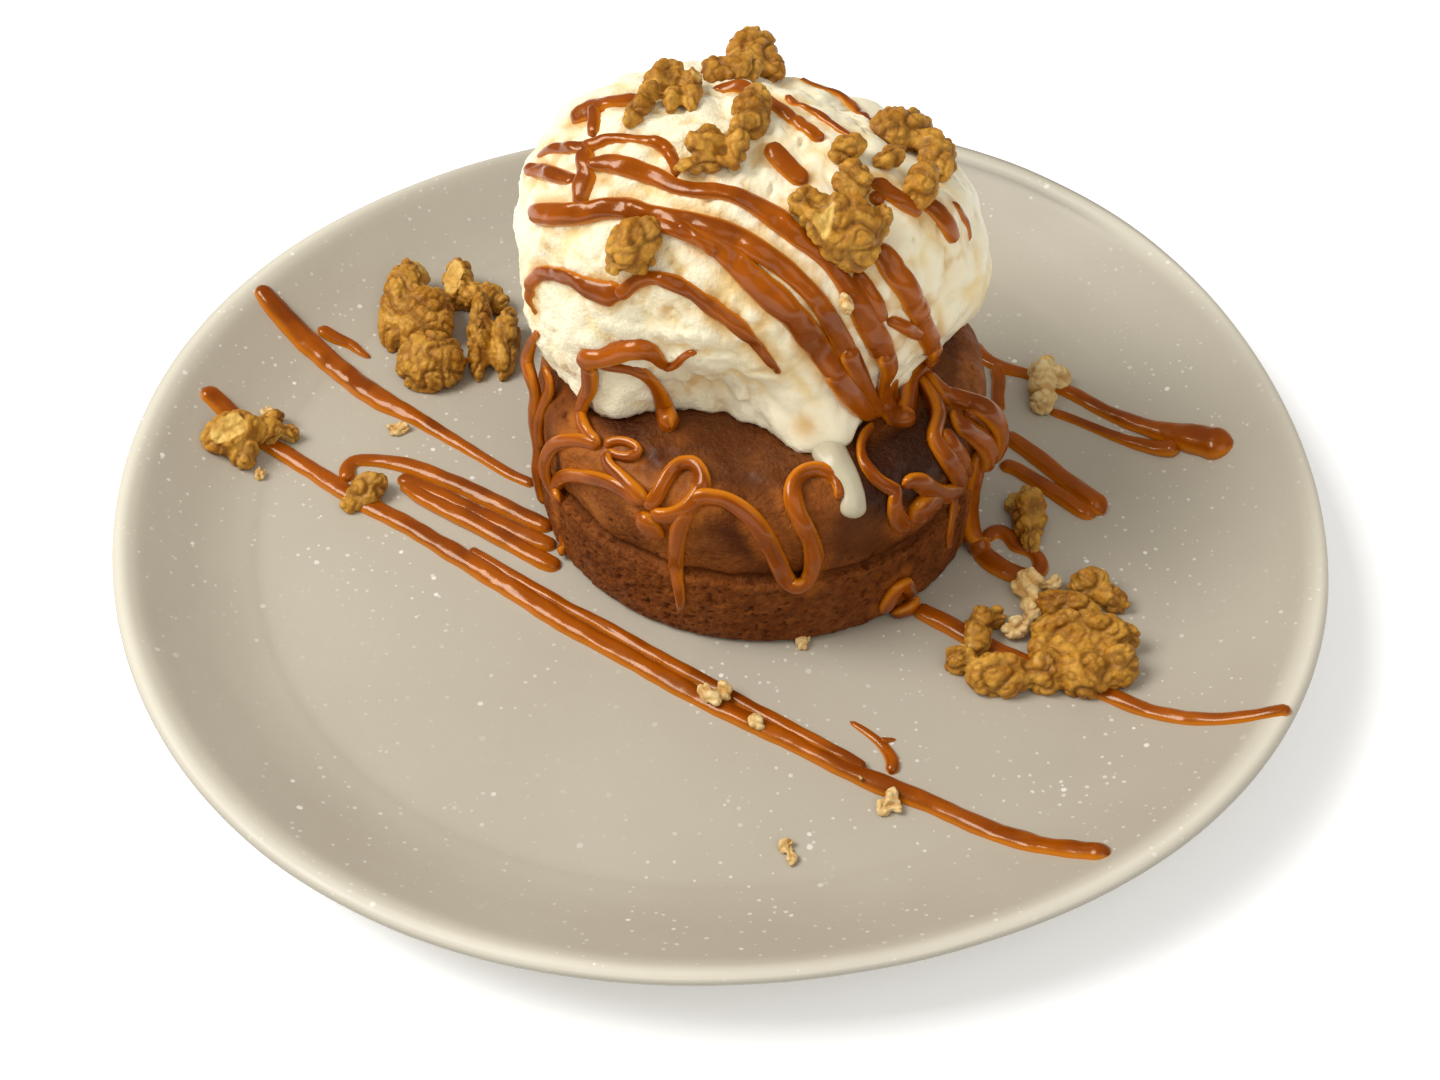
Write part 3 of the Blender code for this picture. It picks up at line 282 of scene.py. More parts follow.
# Walnut pieces, each of lumps that are fused: across and down, half length, half width and half height in
# mm, and the turn of the length in the picture in degrees
NUTS = {
    "nut_peak": [(752, 50, 4.4, 3.4, 3.4, 10), (768, 68, 3.2, 2.4, 2.6, -30), (740, 68, 3.6, 2.4, 2.4, 0),
        (716, 69, 2.9, 2, 1.8, 10)],
    "nut_curl": [(641, 104, 4.6, 1.8, 2.2, 55), (664, 78, 3.8, 2.4, 2.6, 25), (692, 90, 4.2, 1.8, 2.2, 85),
        (672, 98, 2.6, 1.5, 1.8, 80)],
    "nut_big": [(752, 112, 4.6, 3.2, 2.8, 75), (738, 142, 4.6, 2, 2.6, 85), (705, 142, 3.2, 2.6, 2.6, 10),
        (702, 165, 4.6, 1.5, 1.8, 5)],
    "nut_right": [(904, 130, 5.8, 3.2, 3.4, -8), (936, 155, 4.6, 2.8, 3, -60),
        (922, 184, 4.2, 2.6, 2.8, 80), (890, 157, 2.6, 1.6, 2.4, 10)],
    "nut_chip": [(848, 148, 3.4, 2.2, 2, 15)],
    "nut_front": [(846, 230, 6.6, 5.4, 2.6, -50), (853, 180, 3.4, 3.2, 2.4, 30),
        (804, 200, 2.8, 2.1, 2.2, 30), (815, 222, 3, 2.4, 2.2, -60), (852, 260, 3.4, 2, 2, -10),
        (878, 222, 3, 2.2, 2, 70)],
    "nut_left": [(634, 243, 4.8, 3.8, 3.2, 45), (618, 262, 2.4, 2, 2.2, 0), (640, 262, 2.4, 2, 2, 0)],
    "walnut_half_left": [(402, 306, 9.4, 4.5, 5, 84), (425, 322, 6, 6.8, 5.4, 0), (430, 362, 7, 5.2, 5, 0),
        (458, 284, 4.8, 3.3, 4.5, 90), (485, 300, 5.4, 2.8, 3.4, -8), (480, 336, 9.2, 2.6, 4.6, 92),
        (506, 344, 7.2, 2.9, 4.2, 88)],
    "nut_rim_left": [(232, 434, 5.2, 4, 3.8, 10), (245, 455, 2.6, 2.4, 2.6, 0), (258, 432, 4.6, 2.6, 3, 0),
        (272, 418, 2.6, 1.8, 2.2, 10), (290, 433, 2.2, 1.6, 2, -10)],
    "nut_small_left": [(367, 490, 3.9, 2.8, 3, 20), (351, 503, 2.2, 1.6, 1.8, 10),
        (380, 484, 1.8, 1.6, 2.2, 0)],
    "walnut_half_right": [(960, 659, 3, 2, 3, 0), (978, 636, 5.4, 2.4, 3, 75), (985, 620, 4, 1.8, 2.4, 15),
        (1000, 675, 6, 3.2, 3.6, 0), (1045, 671, 3.4, 3.2, 4, 0), (1085, 674, 4.8, 3.4, 4, 0),
        (1118, 667, 3.8, 3, 3.8, 20), (1085, 634, 9.4, 2.8, 4.8, -6), (1068, 610, 6.2, 2.4, 3.6, -12),
        (1075, 652, 8, 4, 3.2, -3)],
    "walnut_lobe_right": [(1088, 586, 4, 2.8, 3.2, 10), (1112, 600, 3.2, 2.2, 2.6, -20)],
    "nut_pale_chips": [(1028, 585, 3.2, 2.6, 2.8, 20), (1031, 607, 3.4, 2, 2.6, 85),
        (1016, 629, 2.8, 1.8, 2.2, 15), (1054, 585, 1.8, 1.4, 2, 90)],
    "nut_wedge": [(1029, 514, 4.8, 3.4, 3.4, 88), (1030, 540, 2.8, 1.9, 2.2, 90),
        (1014, 503, 1.8, 1.6, 2.2, 0)],
    "nut_pale_right": [(1042, 386, 5.4, 3, 3.4, 90), (1047, 366, 2.2, 1.8, 2.6, 0),
        (1060, 377, 2.2, 2.2, 2.6, 0), (1042, 402, 2.4, 2.2, 2.6, 0)],
}
ON_SCOOP = ("nut_peak", "nut_curl", "nut_big", "nut_right", "nut_chip", "nut_front", "nut_left")
NUT_SEED, NUT_SEED_STEP, CRUMB_SEED, CRUMB_TURN_SEED = 200, 7, 500, 9
LUMP_GROWTH = 1.2       # makes up for what smoothing and the folds take away
LUMP_SEAT = 0.8         # how high a lump's middle lies, as a share of its half height
LUMP_LEAN = 0.6         # how far a lump leans back from the picture to lie on what carries it
NUT_VOXEL = 0.32        # size of the grid that the lumps are fused on
NUT_SMOOTH = 5          # rounds of smoothing after that
# Folds: how long in mm, how deep, how wide as a share of the noise, and the seed's step
FOLDS = [(5.4, 0.8, 0.17, 0), (2.6, 0.38, 0.2, 30)]
NUT_GRAIN = [(0.14, 1.1, 60), (0.07, 0.55, 61)]
BREAK_SHARE = 0.25      # share of the lumps with a flat broken face
BREAK_DEPTH = (0.62, 0.85)   # where that face lies, as a share of the lump's reach that way
# Crumbs of walnut: across and down, then the radius and the height over what carries them in mm
CRUMBS = [(708, 694, 2.6, 2.6), (724, 690, 2.3, 2.4), (716, 700, 1.6, 2.6), (803, 640, 2.2, 1),
          (858, 776, 0.9, 2), (757, 720, 2.2, 2.2), (890, 796, 2, 2), (268, 414, 2.2, 1.4),
          (288, 432, 2.3, 1.4), (259, 474, 2, 0.8), (884, 806, 2.2, 1), (898, 806, 1.7, 1.2),
          (786, 846, 1.9, 0.7), (792, 858, 1.5, 0.7), (404, 427, 2.1, 0.8), (392, 430, 2, 0.7),
          (847, 305, 2.5, 1.5)]

# Strands of caramel
ROUTE_STEP = 1.5        # between two points of a route
PLATE_LIFT = 0.35       # how far a picked point lies over the plate, as a share of the half width
HANGING_LIFT = 0.35     # over the food, where the strand may hang clear of it
SCOOP_LIFT = 0.5        # over the mound, and over the crust for the melted run
DRIP_RISE = 0.8         # height of the melted run as a share of its half width
SCOOP_SEED, CAKE_SEED, DRIP_SEED = 60, 90, 91
STRAND_STEP = 0.7       # between two sections
STRAND_TOP = 11         # points over a section, from foot to foot
STRAND_RISE = 0.78      # height as a share of the half width
STRAND_SINK = 0.8       # how deep the underside lies in what carries it
FOOD_MIDDLE = (7.0, 10.0, 40.0)
# Where the ice cream is coloured tan, by caramel in some spots and as painted shade in pits and hollows under
# folds in others: across and down, and the reach in mm
SOAK_AND_SHADE_SPOTS = [(664, 308, 2), (757, 325, 2.4), (700, 390, 4.5), (712, 402, 3), (603, 182, 2.4), (570, 365, 2.6),
          (728, 236, 3), (545, 245, 2), (860, 395, 2.5), (955, 262, 3.5), (805, 425, 2.5)]
STAIN_REACH = 3.4       # how far caramel colours what lies round it


def srgb(red, green, blue):
    """Linear colour of a screen colour given from 0 to 255."""
    share = np.array([red, green, blue]) / 255
    linear = np.where(share <= 0.04045, share / 12.92, ((share + 0.055) / 1.055) ** 2.4)
    return (*map(float, linear), 1.0)


GLAZE = srgb(182, 174, 156)
GLAZE_LIGHT = srgb(224, 217, 198)
GLAZE_DARK = srgb(174, 164, 146)
SPECK_WHITE = srgb(246, 243, 232)
SPECK_BROWN = srgb(120, 96, 70)
# painted shade: darker glaze for the rim's outer side and the underside
GLAZE_WALL_SHADE = srgb(146, 140, 124)
CLAY = srgb(176, 158, 132)
CRUST = srgb(138, 72, 20)
CRUST_LIGHT = srgb(172, 102, 44)
CRUST_DARK = srgb(80, 34, 6)
RING = srgb(112, 54, 16)
# syrup colour, also used as painted shade under the ice cream
SYRUP_AND_SHADE = srgb(44, 17, 8)
CREAM = srgb(246, 236, 204)
# painted shade: the deeper yellow of the hollows between folds
CREAM_HOLLOW_SHADE = srgb(236, 204, 128)
CARAMEL = srgb(160, 80, 2)
# caramel at its edges, partly a painted highlight
CARAMEL_THIN_AND_GLINT = srgb(204, 122, 10)
CARAMEL_DEEP = srgb(112, 46, 0)
WALNUT = srgb(186, 124, 30)
WALNUT_LIGHT = srgb(218, 162, 62)
WALNUT_DARK = srgb(104, 56, 14)
WALNUT_PALE = srgb(226, 198, 138)
WALNUT_CREAM = srgb(236, 214, 160)
WALNUT_FLESH = srgb(230, 192, 104)
# caramel stain, and painted shade in pits and hollows under folds
CREAM_STAIN_AND_SHADE = srgb(214, 168, 92)
# painted shade: the grey of the melted run
CREAM_DRIP_SHADE = srgb(190, 180, 152)
FILM = srgb(172, 98, 34)


def lumps(points, size, seed):
    """Smooth noise of about -1 to 1: random slopes at the corners of cubes of this size, blended between."""
    draw = np.random.default_rng(seed)
    slopes = draw.normal(size=(256, 3))
    slopes /= np.linalg.norm(slopes, axis=1)[:, None]
    order = draw.permutation(256)
    scaled = points / size
    cell = np.floor(scaled).astype(int)
    part = scaled - cell
    blend = part ** 3 * (part * (part * 6 - 15) + 10)
    total = np.zeros(points.shape[:-1])
    for corner in product((0, 1), repeat=3):
        at = (cell + corner) & 255
        pick = order[(order[(order[at[..., 0]] + at[..., 1]) & 255] + at[..., 2]) & 255]
        weight = np.where(corner, blend, 1 - blend).prod(-1)
        total += weight * ((part - corner) * slopes[pick]).sum(-1)
    return total * 1.6


def layered(points, layers, seed=0):
    """Sum of noises, each given by its height and size in mm and its seed."""
    return sum(height * lumps(points, size, seed + step) for height, size, step in layers)


def outline(turn):
    """Radius of the pulled rim at each angle, in radians."""
    radius = np.full_like(turn, PLATE_R)
    for waves, cosine, sine in PLATE_WAVES:
        radius += cosine * np.cos(waves * turn) + sine * np.sin(waves * turn)
    return radius


def box_centre():
    """Middle of the box round the rim's outline."""
    turn = np.linspace(0, 2 * np.pi, 721)
    x, y = outline(turn) * np.cos(turn), outline(turn) * np.sin(turn)
    return np.array([(x.min() + x.max()) / 2, (y.min() + y.max()) / 2, 0.0])


SHIFT = -box_centre()


def plate_height(x, y):
    """Height of the plate's upper face: the turned profile read at the radius before the rim was pulled."""
    radius = np.hypot(x, y)
    pull = outline(np.arctan2(y, x)) / PLATE_R - 1
    rim, height = np.array(PLATE_TOP).T
    return np.interp(radius / (1 + pull * (radius / PLATE_R) ** 2), rim, height)


def direction(bearing, elevation):
    """Unit vectors for bearings and elevations in degrees."""
    turn, rise = np.radians(bearing), np.radians(elevation)
    return np.stack([np.cos(turn) * np.cos(rise), np.sin(turn) * np.cos(rise), np.sin(rise)], -1)


def cake_top(x, y):
    """Height of the crust's upper face, level beyond the shoulder."""
    radius, height = np.array(CAKE_DOME).T
    return np.interp(np.hypot(x - CAKE_AT[0], y - CAKE_AT[1]), radius, height)


def cake_point(bearing, along, lift):
    """Point on the crust at this bearing and distance along the profile, lifted square to it."""
    profile = CAKE_CURVE
    run = np.diff(profile, axis=0)
    distance = np.concatenate([[0], np.cumsum(np.hypot(*run.T))])
    slope = np.degrees(np.unwrap(np.arctan2(run[:, 0], -run[:, 1])))
    middle = (distance[1:] + distance[:-1]) / 2
    tilt = np.radians(np.interp(along, middle, slope))
    radius = np.interp(along, distance, profile[:, 0]) + lift * np.cos(tilt)
    height = np.interp(along, distance, profile[:, 1]) + lift * np.sin(tilt)
    turn = np.radians(bearing)
    return np.stack([CAKE_AT[0] + radius * np.cos(turn), CAKE_AT[1] + radius * np.sin(turn), height], -1)


def pushed_out(radius, way, bumps):
    """Radius with bumps added, each fading with the angle from its bearing and elevation."""
    for bearing, elevation, spread, height in bumps:
        away = np.degrees(np.arccos(np.clip(way @ direction(bearing, elevation), -1, 1)))
        radius = radius + height * np.exp(-(away / spread) ** 2)
    return radius


def scoop_radius(way):
    """Distance from the mound's middle to its surface: a rounded box, bumps fading with angle, and lumps."""
    size = np.where(way[..., 2] > 0, SCOOP_UP, SCOOP_DOWN)
    share = np.abs(way[..., 0] / SCOOP_HALF[0]) ** SCOOP_SQUARE
    share += np.abs(way[..., 1] / SCOOP_HALF[1]) ** SCOOP_SQUARE
    share += np.abs(way[..., 2] / size) ** SCOOP_SQUARE
    radius = pushed_out(share ** (-1 / SCOOP_SQUARE), way, SCOOP_BUMPS)
    for lump, height, seed in SCOOP_LUMPS:
        radius += height * lumps(way * SCOOP_HALF[0], lump, seed)
    return radius


def scoop_seat(way):
    """Distance from the mound's middle down to the crust that carries it, very far for a way that rises."""
    falling = np.minimum(way[..., 2], -0.05)
    reach = (CAKE_SIDE[0][1] - SCOOP_AT[2]) / falling
    for _ in range(4):
        x, y = SCOOP_AT[0] + way[..., 0] * reach, SCOOP_AT[1] + way[..., 1] * reach
        reach = (cake_top(x, y) + TOUCH_GAP - SCOOP_AT[2]) / falling
    return np.where(way[..., 2] < -0.05, reach, 1000.0)


def scoop_gap(points):
    """Distance from the plain mound, measured on the ray from its middle."""
    away = points - np.array(SCOOP_AT)
    reach = np.linalg.norm(away, axis=-1)
    return reach - scoop_radius(away / reach[..., None])


def crust_gap(points):
    """Distance from the smooth crust, measured square to it."""
    base, out = cake_carrier(points)
    return ((points - base) * out).sum(-1)


def plate_gap(points):
    """Height over the plate's upper face."""
    return points[..., 2] - plate_height(points[..., 0], points[..., 1])


def food_gap(points):
    """Distance from the ice cream or the cake, the nearer of the two."""
    return np.minimum(scoop_gap(points), crust_gap(points))


def crumb_gap(points):
    """Distance from the plate or the ice cream, the nearer of the two."""
    return np.minimum(plate_gap(points), scoop_gap(points))


def view_axes():
    """Unit vectors to the right and up in the picture and ahead along the view."""
    ahead = np.array(LOOK_AT) - EYE
    ahead /= np.linalg.norm(ahead)
    right = np.cross(ahead, (0, 0, 1))
    right /= np.linalg.norm(right)
    return right, np.cross(right, ahead), ahead


def seen_on(across, down, gap, lift):
    """The points that the picture shows at these places: on each line of sight, the first point whose gap to
    the surface falls to the lift, or the nearest one where the line passes the surface by."""
    right, up, ahead = view_axes()
    pixel = SENSOR / LENS / PICTURE[0]
    sideways = (np.array(across) - PICTURE[0] / 2)[:, None] * pixel * right
    way = ahead + sideways + (PICTURE[1] / 2 - np.array(down))[:, None] * pixel * up
    reach = np.arange(*SIGHT_REACH, SIGHT_STEP)
    air = gap(np.array(EYE) + way[:, None] * reach[:, None]) - np.broadcast_to(lift, len(way))[:, None]
    row = np.arange(len(way))
    first = np.maximum((air < 0).argmax(1), 1)
    before, after = air[row, first - 1], air[row, first]
    depth = reach[first] - SIGHT_STEP * after / np.minimum(after - before, -1e-6)
    depth = np.where((air < 0).any(1), depth, reach[air.argmin(1)])
    return np.array(EYE) + way * depth[:, None]


def picked_route(route, gap, lift, share=1.0):
    """Smooth route of x, y, z and half width through points picked from the picture. The lift over the
    surface is a share of the half width that was picked, of which a share is drawn. A point with a height
    of its own lies where its line of sight comes down to it."""
    across, down, half = np.array([row[:3] for row in route], dtype=float).T
    points = seen_on(across, down, gap, lift * half)
    for index, row in enumerate(route):
        if len(row) == 4:
            points[index] = seen_on(across[index:index + 1], down[index:index + 1],
                                    lambda spots: spots[..., 2], [row[3]])[0]
    return curve_through(np.column_stack([points, half * share]), ROUTE_STEP)


def curve_through(points, step):
    """Catmull-Rom curve through the rows, about one step apart by their first columns."""
    rows = np.array(points, dtype=float)
    ends = np.vstack([2 * rows[0] - rows[1], rows, 2 * rows[-1] - rows[-2]])
    out = []
    for before, start, end, after in zip(ends, ends[1:], ends[2:], ends[3:]):
        count = max(1, round(np.linalg.norm((end - start)[:-1]) / step))
        t = (np.arange(count) / count)[:, None]
        out.append(0.5 * (2 * start + (end - before) * t + (2 * before - 5 * start + 4 * end - after) * t ** 2
                          + (3 * start - before - 3 * end + after) * t ** 3))
    return np.vstack(out + [rows[-1:]])


def smooth(value, low, high):
    """Share from 0 at low to 1 at high, level at both ends."""
    share = np.clip((value - low) / (high - low), 0, 1)
    return share * share * (3 - 2 * share)


def closed_grid(points):
    """Vertices, four-sided faces and end fans of a grid whose columns wrap round and whose first and last
    rows are closed to their middles. Faces are turned to point outwards, by the sign of the volume."""
    rows, columns = points.shape[:2]
    here = np.arange(rows * columns).reshape(rows, columns)
    right = np.roll(here, -1, axis=1)
    quads = np.stack([here[:-1], right[:-1], right[1:], here[1:]], -1).reshape(-1, 4)
    first, last = (np.full(columns, rows * columns + end) for end in (0, 1))
    fans = np.vstack([np.stack([right[0], here[0], first], -1), np.stack([here[-1], right[-1], last], -1)])
    vertices = np.vstack([points.reshape(-1, 3), points[0].mean(0), points[-1].mean(0)])
    split = np.vstack([quads[:, :3], quads[:, [0, 2, 3]], fans])
    a, b, c = (vertices[split] - vertices.mean(0)).transpose(1, 0, 2)
    if (np.cross(a, b) * c).sum() < 0:
        quads, fans = quads[:, ::-1], fans[:, ::-1]
    return vertices, quads, fans


def closed_marks(mark):
    """A grid's values in the order of closed_grid's vertices."""
    return np.concatenate([mark.ravel(), [mark[0].mean(), mark[-1].mean()]])


def joined_mesh(name, grids):
    """Mesh of closed grids, in mm."""
    vertices, quads, fans, start = [], [], [], 0
    for points in grids:
        own, four, three = closed_grid(points)
        vertices.append(own)
        quads.append(four + start)
        fans.append(three + start)
        start += len(own)
    vertices, quads, fans = (np.vstack(part) for part in (vertices, quads, fans))
    mesh = bpy.data.meshes.new(name)
    mesh.vertices.add(len(vertices))
    mesh.vertices.foreach_set("co", vertices.astype(np.float32).ravel())
    sides = np.concatenate([np.full(len(quads), 4), np.full(len(fans), 3)])
    mesh.loops.add(int(sides.sum()))
    mesh.loops.foreach_set("vertex_index", np.concatenate([quads.ravel(), fans.ravel()]).astype(np.int32))
    mesh.polygons.add(len(sides))
    mesh.polygons.foreach_set("loop_start", np.concatenate([[0], np.cumsum(sides)[:-1]]).astype(np.int32))
    mesh.update(calc_edges=True)
    return mesh


def mesh_array(mesh, name):
    """Places or normals of a mesh's vertices as rows of three numbers."""
    values = np.empty(len(mesh.vertices) * 3, dtype=np.float32)
    if name == "place":
        mesh.vertices.foreach_get("co", values)
    else:
        mesh.vertex_normals.foreach_get("vector", values)
    return values.reshape(-1, 3).astype(float)


def place_piece(mesh, points, finish, marks):
    """Smooth object at the origin from a mesh and its points in mm. Each mark is a number at each vertex for
    the material to read."""
    mesh.vertices.foreach_set("co", ((points + SHIFT) * MM).astype(np.float32).ravel())
    for mark, values in marks:
        layer = mesh.attributes.new(mark, "FLOAT", "POINT")
        layer.data.foreach_set("value", values.astype(np.float32))
    mesh.update()
    mesh.shade_smooth()
    mesh.materials.clear()
    mesh.materials.append(finish)
    piece = bpy.data.objects.new(mesh.name, mesh)
    bpy.context.scene.collection.objects.link(piece)
    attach(piece, "root")
    return piece


def add_piece(name, grids, finish, marks=()):
    """One piece of closed grids, each mark being a name and one grid of values for each grid of points."""
    mesh = joined_mesh(name, grids)
    joined = [(mark, np.concatenate([closed_marks(v) for v in values])) for mark, values in marks]
    return place_piece(mesh, mesh_array(mesh, "place"), finish, joined)


CAKE_CURVE = curve_through([(*point, 0) for point in CAKE_SIDE], 0.6)[:, :2]


def plate_grid():
    """Turned profile, its rim pulled out of round, with a potter's slight unevenness in its height. Its two
    ends on the axis are left to the closing fans."""
    profile = curve_through([(*point, 0) for point in PLATE_TOP + PLATE_LIP + PLATE_UNDER], PLATE_STEP)[1:-1]
    turn = np.linspace(0, 2 * np.pi, PLATE_STEPS, endpoint=False)
    pull = (outline(turn) / PLATE_R - 1)[None] * (profile[:, :1] / PLATE_R) ** 2
    radius = profile[:, :1] * (1 + pull)
    height = np.broadcast_to(profile[:, 1:2], radius.shape)
    points = np.stack([radius * np.cos(turn), radius * np.sin(turn), height], -1)
    points[..., 2] += layered(points, PLATE_UNEVEN) * smooth(height, 0.5, 3.0) * smooth(radius, 60, 110)
    points[..., 2] = np.maximum(points[..., 2], 0)
    upper = len(curve_through([(*p, 0) for p in PLATE_TOP + PLATE_LIP], PLATE_STEP))
    top = np.arange(1, len(profile) + 1) < upper
    foot = np.where(top[:, None], 0.0, smooth(-height, -2.6, -0.2)) * np.ones_like(radius)
    lip = np.exp(-((radius - LIP_AT) / LIP_SPREAD) ** 2) * smooth(height, 17, 19)
    # painted shade: 1 on the underside and the outer side of the lip, which the glaze paints darker
    wall_shade = np.where(top[:, None], smooth(-height, -19.7, -18.7) * smooth(radius, 121, 123), 1.0)
    return points, foot, lip, wall_shade


def ring_share(along):
    """1 on the porous foot ring, 0 on the smoother top."""
    return smooth(along, *RING_FROM) * smooth(-along, -RING_TO[1], -RING_TO[0])


def crust_relief(points, along):
    """Height over the smooth crust in mm, and how deep in a pit, one of the pores or the seam it lies from 0
    to 1,
    which is painted as shade: dents on the top part, open pores on the ring, a torn seam at the step."""
    ring = ring_share(along)
    specks = smooth(lumps(points, 1.9, 24), 0.5, 0.8) * (1 - ring)
    pores = np.maximum(smooth(lumps(points, 1.4, 25), 0.35, 0.7), smooth(lumps(points, 0.8, 26), 0.35, 0.7))
    seam = np.exp(-((along - SEAM_AT + 0.7 * lumps(points, 6, 29)) / 0.8) ** 2)
    height = (layered(points, CRUST_DENTS) - 0.3 * specks) * (1 - ring)
    height = height + (layered(points, RING_CRUMBS) - 0.42 * pores) * ring - 0.5 * seam
    return height, np.clip(specks + pores * ring + seam * 0.8, 0, 1)


def cake_grid():
    """Crust points by bearing and distance over the profile, lifted by its relief."""
    # few rows under the ice cream and on the underside, many on the crust that shows
    along = np.concatenate([np.linspace(0.6, 30, 9), np.arange(31, 81.6, 0.42), np.linspace(82, 126.5, 6)])
    bearing = np.linspace(0, 360, CAKE_STEPS, endpoint=False)
    along, bearing = np.meshgrid(along, bearing, indexing="ij")
    smooth_points = cake_point(bearing, along, np.zeros_like(along))
    relief, pore_shade = crust_relief(smooth_points, along)
    relief *= smooth(-along, -82.0, -80.8)
    points = cake_point(bearing, along, relief)
    points[..., 2] = np.maximum(points[..., 2], FLOOR_Z + LEAST_AIR)
    # painted shade and syrup: the patch under the overhang of the ice cream, and at half strength the top
    # under it
    wet_and_shade = np.exp(-(((bearing - WET_SHADE_AT[0]) / WET_SHADE_REACH[0]) ** 4 + ((along - WET_SHADE_AT[1]) / WET_SHADE_REACH[1]) ** 4))
    wet_and_shade = np.maximum(wet_and_shade, smooth(-along, -41.5, -38.0) * 0.5)
    return points, pore_shade, ring_share(along), wet_and_shade


def scoop_froth(way):
    """How frothy the ice cream is, from 0 on the smooth right bulge to 1 on the lower left."""
    left = smooth(-way[..., 0], -0.35, 0.5)
    return np.clip(0.25 + 0.75 * left, 0, 1)


def scoop_surface(way, frothy=True):
    """Distance from the mound's middle to its dressed surface: the plain mound, folds with sharp creases
    between them, lobes along the hem, a few pits, and froth."""
    points = way * SCOOP_HALF[0]
    warped = points + 3.0 * np.stack([lumps(points, 11.0, seed) for seed in (36, 37, 38)], -1)
    froth = scoop_froth(way)
    folds = np.abs(lumps(warped, 10.0, 31)) - 0.3
    small = np.abs(lumps(warped, 4.6, 32)) - 0.3
    hem = smooth(-way[..., 2], 0.1, 0.45)
    radius = scoop_radius(way) + 1.7 * folds + 0.8 * small * (0.35 + 0.65 * froth)
    radius += hem * 2.2 * (np.abs(lumps(points, 6.0, 33)) - 0.25)
    radius = pushed_out(radius, way, HEM_LOBES)
    if frothy:
        radius -= 0.9 * smooth(lumps(warped, 3.0, 39), 0.5, 0.85)
        radius += (0.2 + 0.8 * froth) * layered(points, FROTH)
    return radius


def scoop_grid():
    """Mound by elevation and bearing, its underside resting on the crust."""
    columns, rows = SCOOP_STEPS
    elevation = np.linspace(-89, 89.5, rows)
    bearing = np.linspace(0, 360, columns, endpoint=False)
    elevation, bearing = np.meshgrid(elevation, bearing, indexing="ij")
    way = direction(bearing, elevation)
    reach = np.minimum(scoop_surface(way), scoop_seat(way))
    points = np.array(SCOOP_AT) + way * reach[..., None]
    # painted shade: how far a point is sunk between the folds, for the deeper yellow
    hollow_shade = smooth(-(scoop_surface(way) - scoop_radius(way)), -0.1, 0.6)
    return points, hollow_shade, scoop_froth(way)


def even_rows(rows, step):
    """Rows of x, y, z, ... at even distances along their route."""
    run = np.concatenate([[0], np.cumsum(np.linalg.norm(np.diff(rows[:, :3], axis=0), axis=1))])
    count = max(6, round(run[-1] / step))
    at = np.linspace(0, run[-1], count)
    return np.stack([np.interp(at, run, column) for column in rows.T], -1), at


def plate_carrier(points):
    """The plate's upper face below points, and its upward direction."""
    x, y = points[..., 0], points[..., 1]
    step = 0.5          # to either side, for the slope
    rise = [(plate_height(x + dx, y + dy) - plate_height(x - dx, y - dy)) / (2 * step)
            for dx, dy in ((step, 0), (0, step))]
    up = np.stack([-rise[0], -rise[1], np.ones_like(x)], -1)
    return np.stack([x, y, plate_height(x, y)], -1), up / np.linalg.norm(up, axis=-1, keepdims=True)


def cake_carrier(points):
    """The nearest point of the smooth crust, and the direction square to it: the nearest of the profile's
    points, then a parabola through it and its neighbours."""
    away = (points[..., :2] - CAKE_AT).reshape(-1, 2)
    bearing = np.degrees(np.arctan2(away[:, 1], away[:, 0]))
    spot = np.column_stack([np.hypot(*away.T), points[..., 2].ravel()])
    far = ((CAKE_CURVE[:, None] - spot) ** 2).sum(-1)
    run = np.concatenate([[0], np.cumsum(np.hypot(*np.diff(CAKE_CURVE, axis=0).T))])
    nearest = np.clip(far.argmin(0), 1, len(run) - 2)
    column = np.arange(len(nearest))
    before, at, after = (far[nearest + k, column] for k in (-1, 0, 1))
    shift = 0.5 * (before - after) / np.maximum(before - 2 * at + after, 1e-9)
    along = run[nearest] + np.clip(shift, -0.5, 0.5) * (run[nearest + 1] - run[nearest - 1]) / 2
    base = cake_point(bearing, along, np.zeros_like(along))
    out = cake_point(bearing, along, np.ones_like(along)) - base
    return base.reshape(points.shape), out.reshape(points.shape)


def scoop_carrier(points):
    """The dressed mound's surface on the ray to points, and the ray's direction."""
    away = points - np.array(SCOOP_AT)
    way = away / np.linalg.norm(away, axis=-1, keepdims=True)
    reach = np.minimum(scoop_surface(way, False), scoop_seat(way))
    return np.array(SCOOP_AT) + way * reach[..., None], way


def uneven_half(rows, at, seed):
    """Half widths that swell and narrow a little along a strand."""
    return rows[:, 3] * (1 + 0.1 * lumps(np.column_stack([at / 5, at * 0 + seed, at * 0]), 1.0, seed))


def strand_noise(across, along, seed, size, step):
    """Noise over a strand, from places across it and along it."""
    spots = np.stack([*np.broadcast_arrays(across, along[:, None], float(seed))], -1)
    return lumps(spots, size, seed + step)


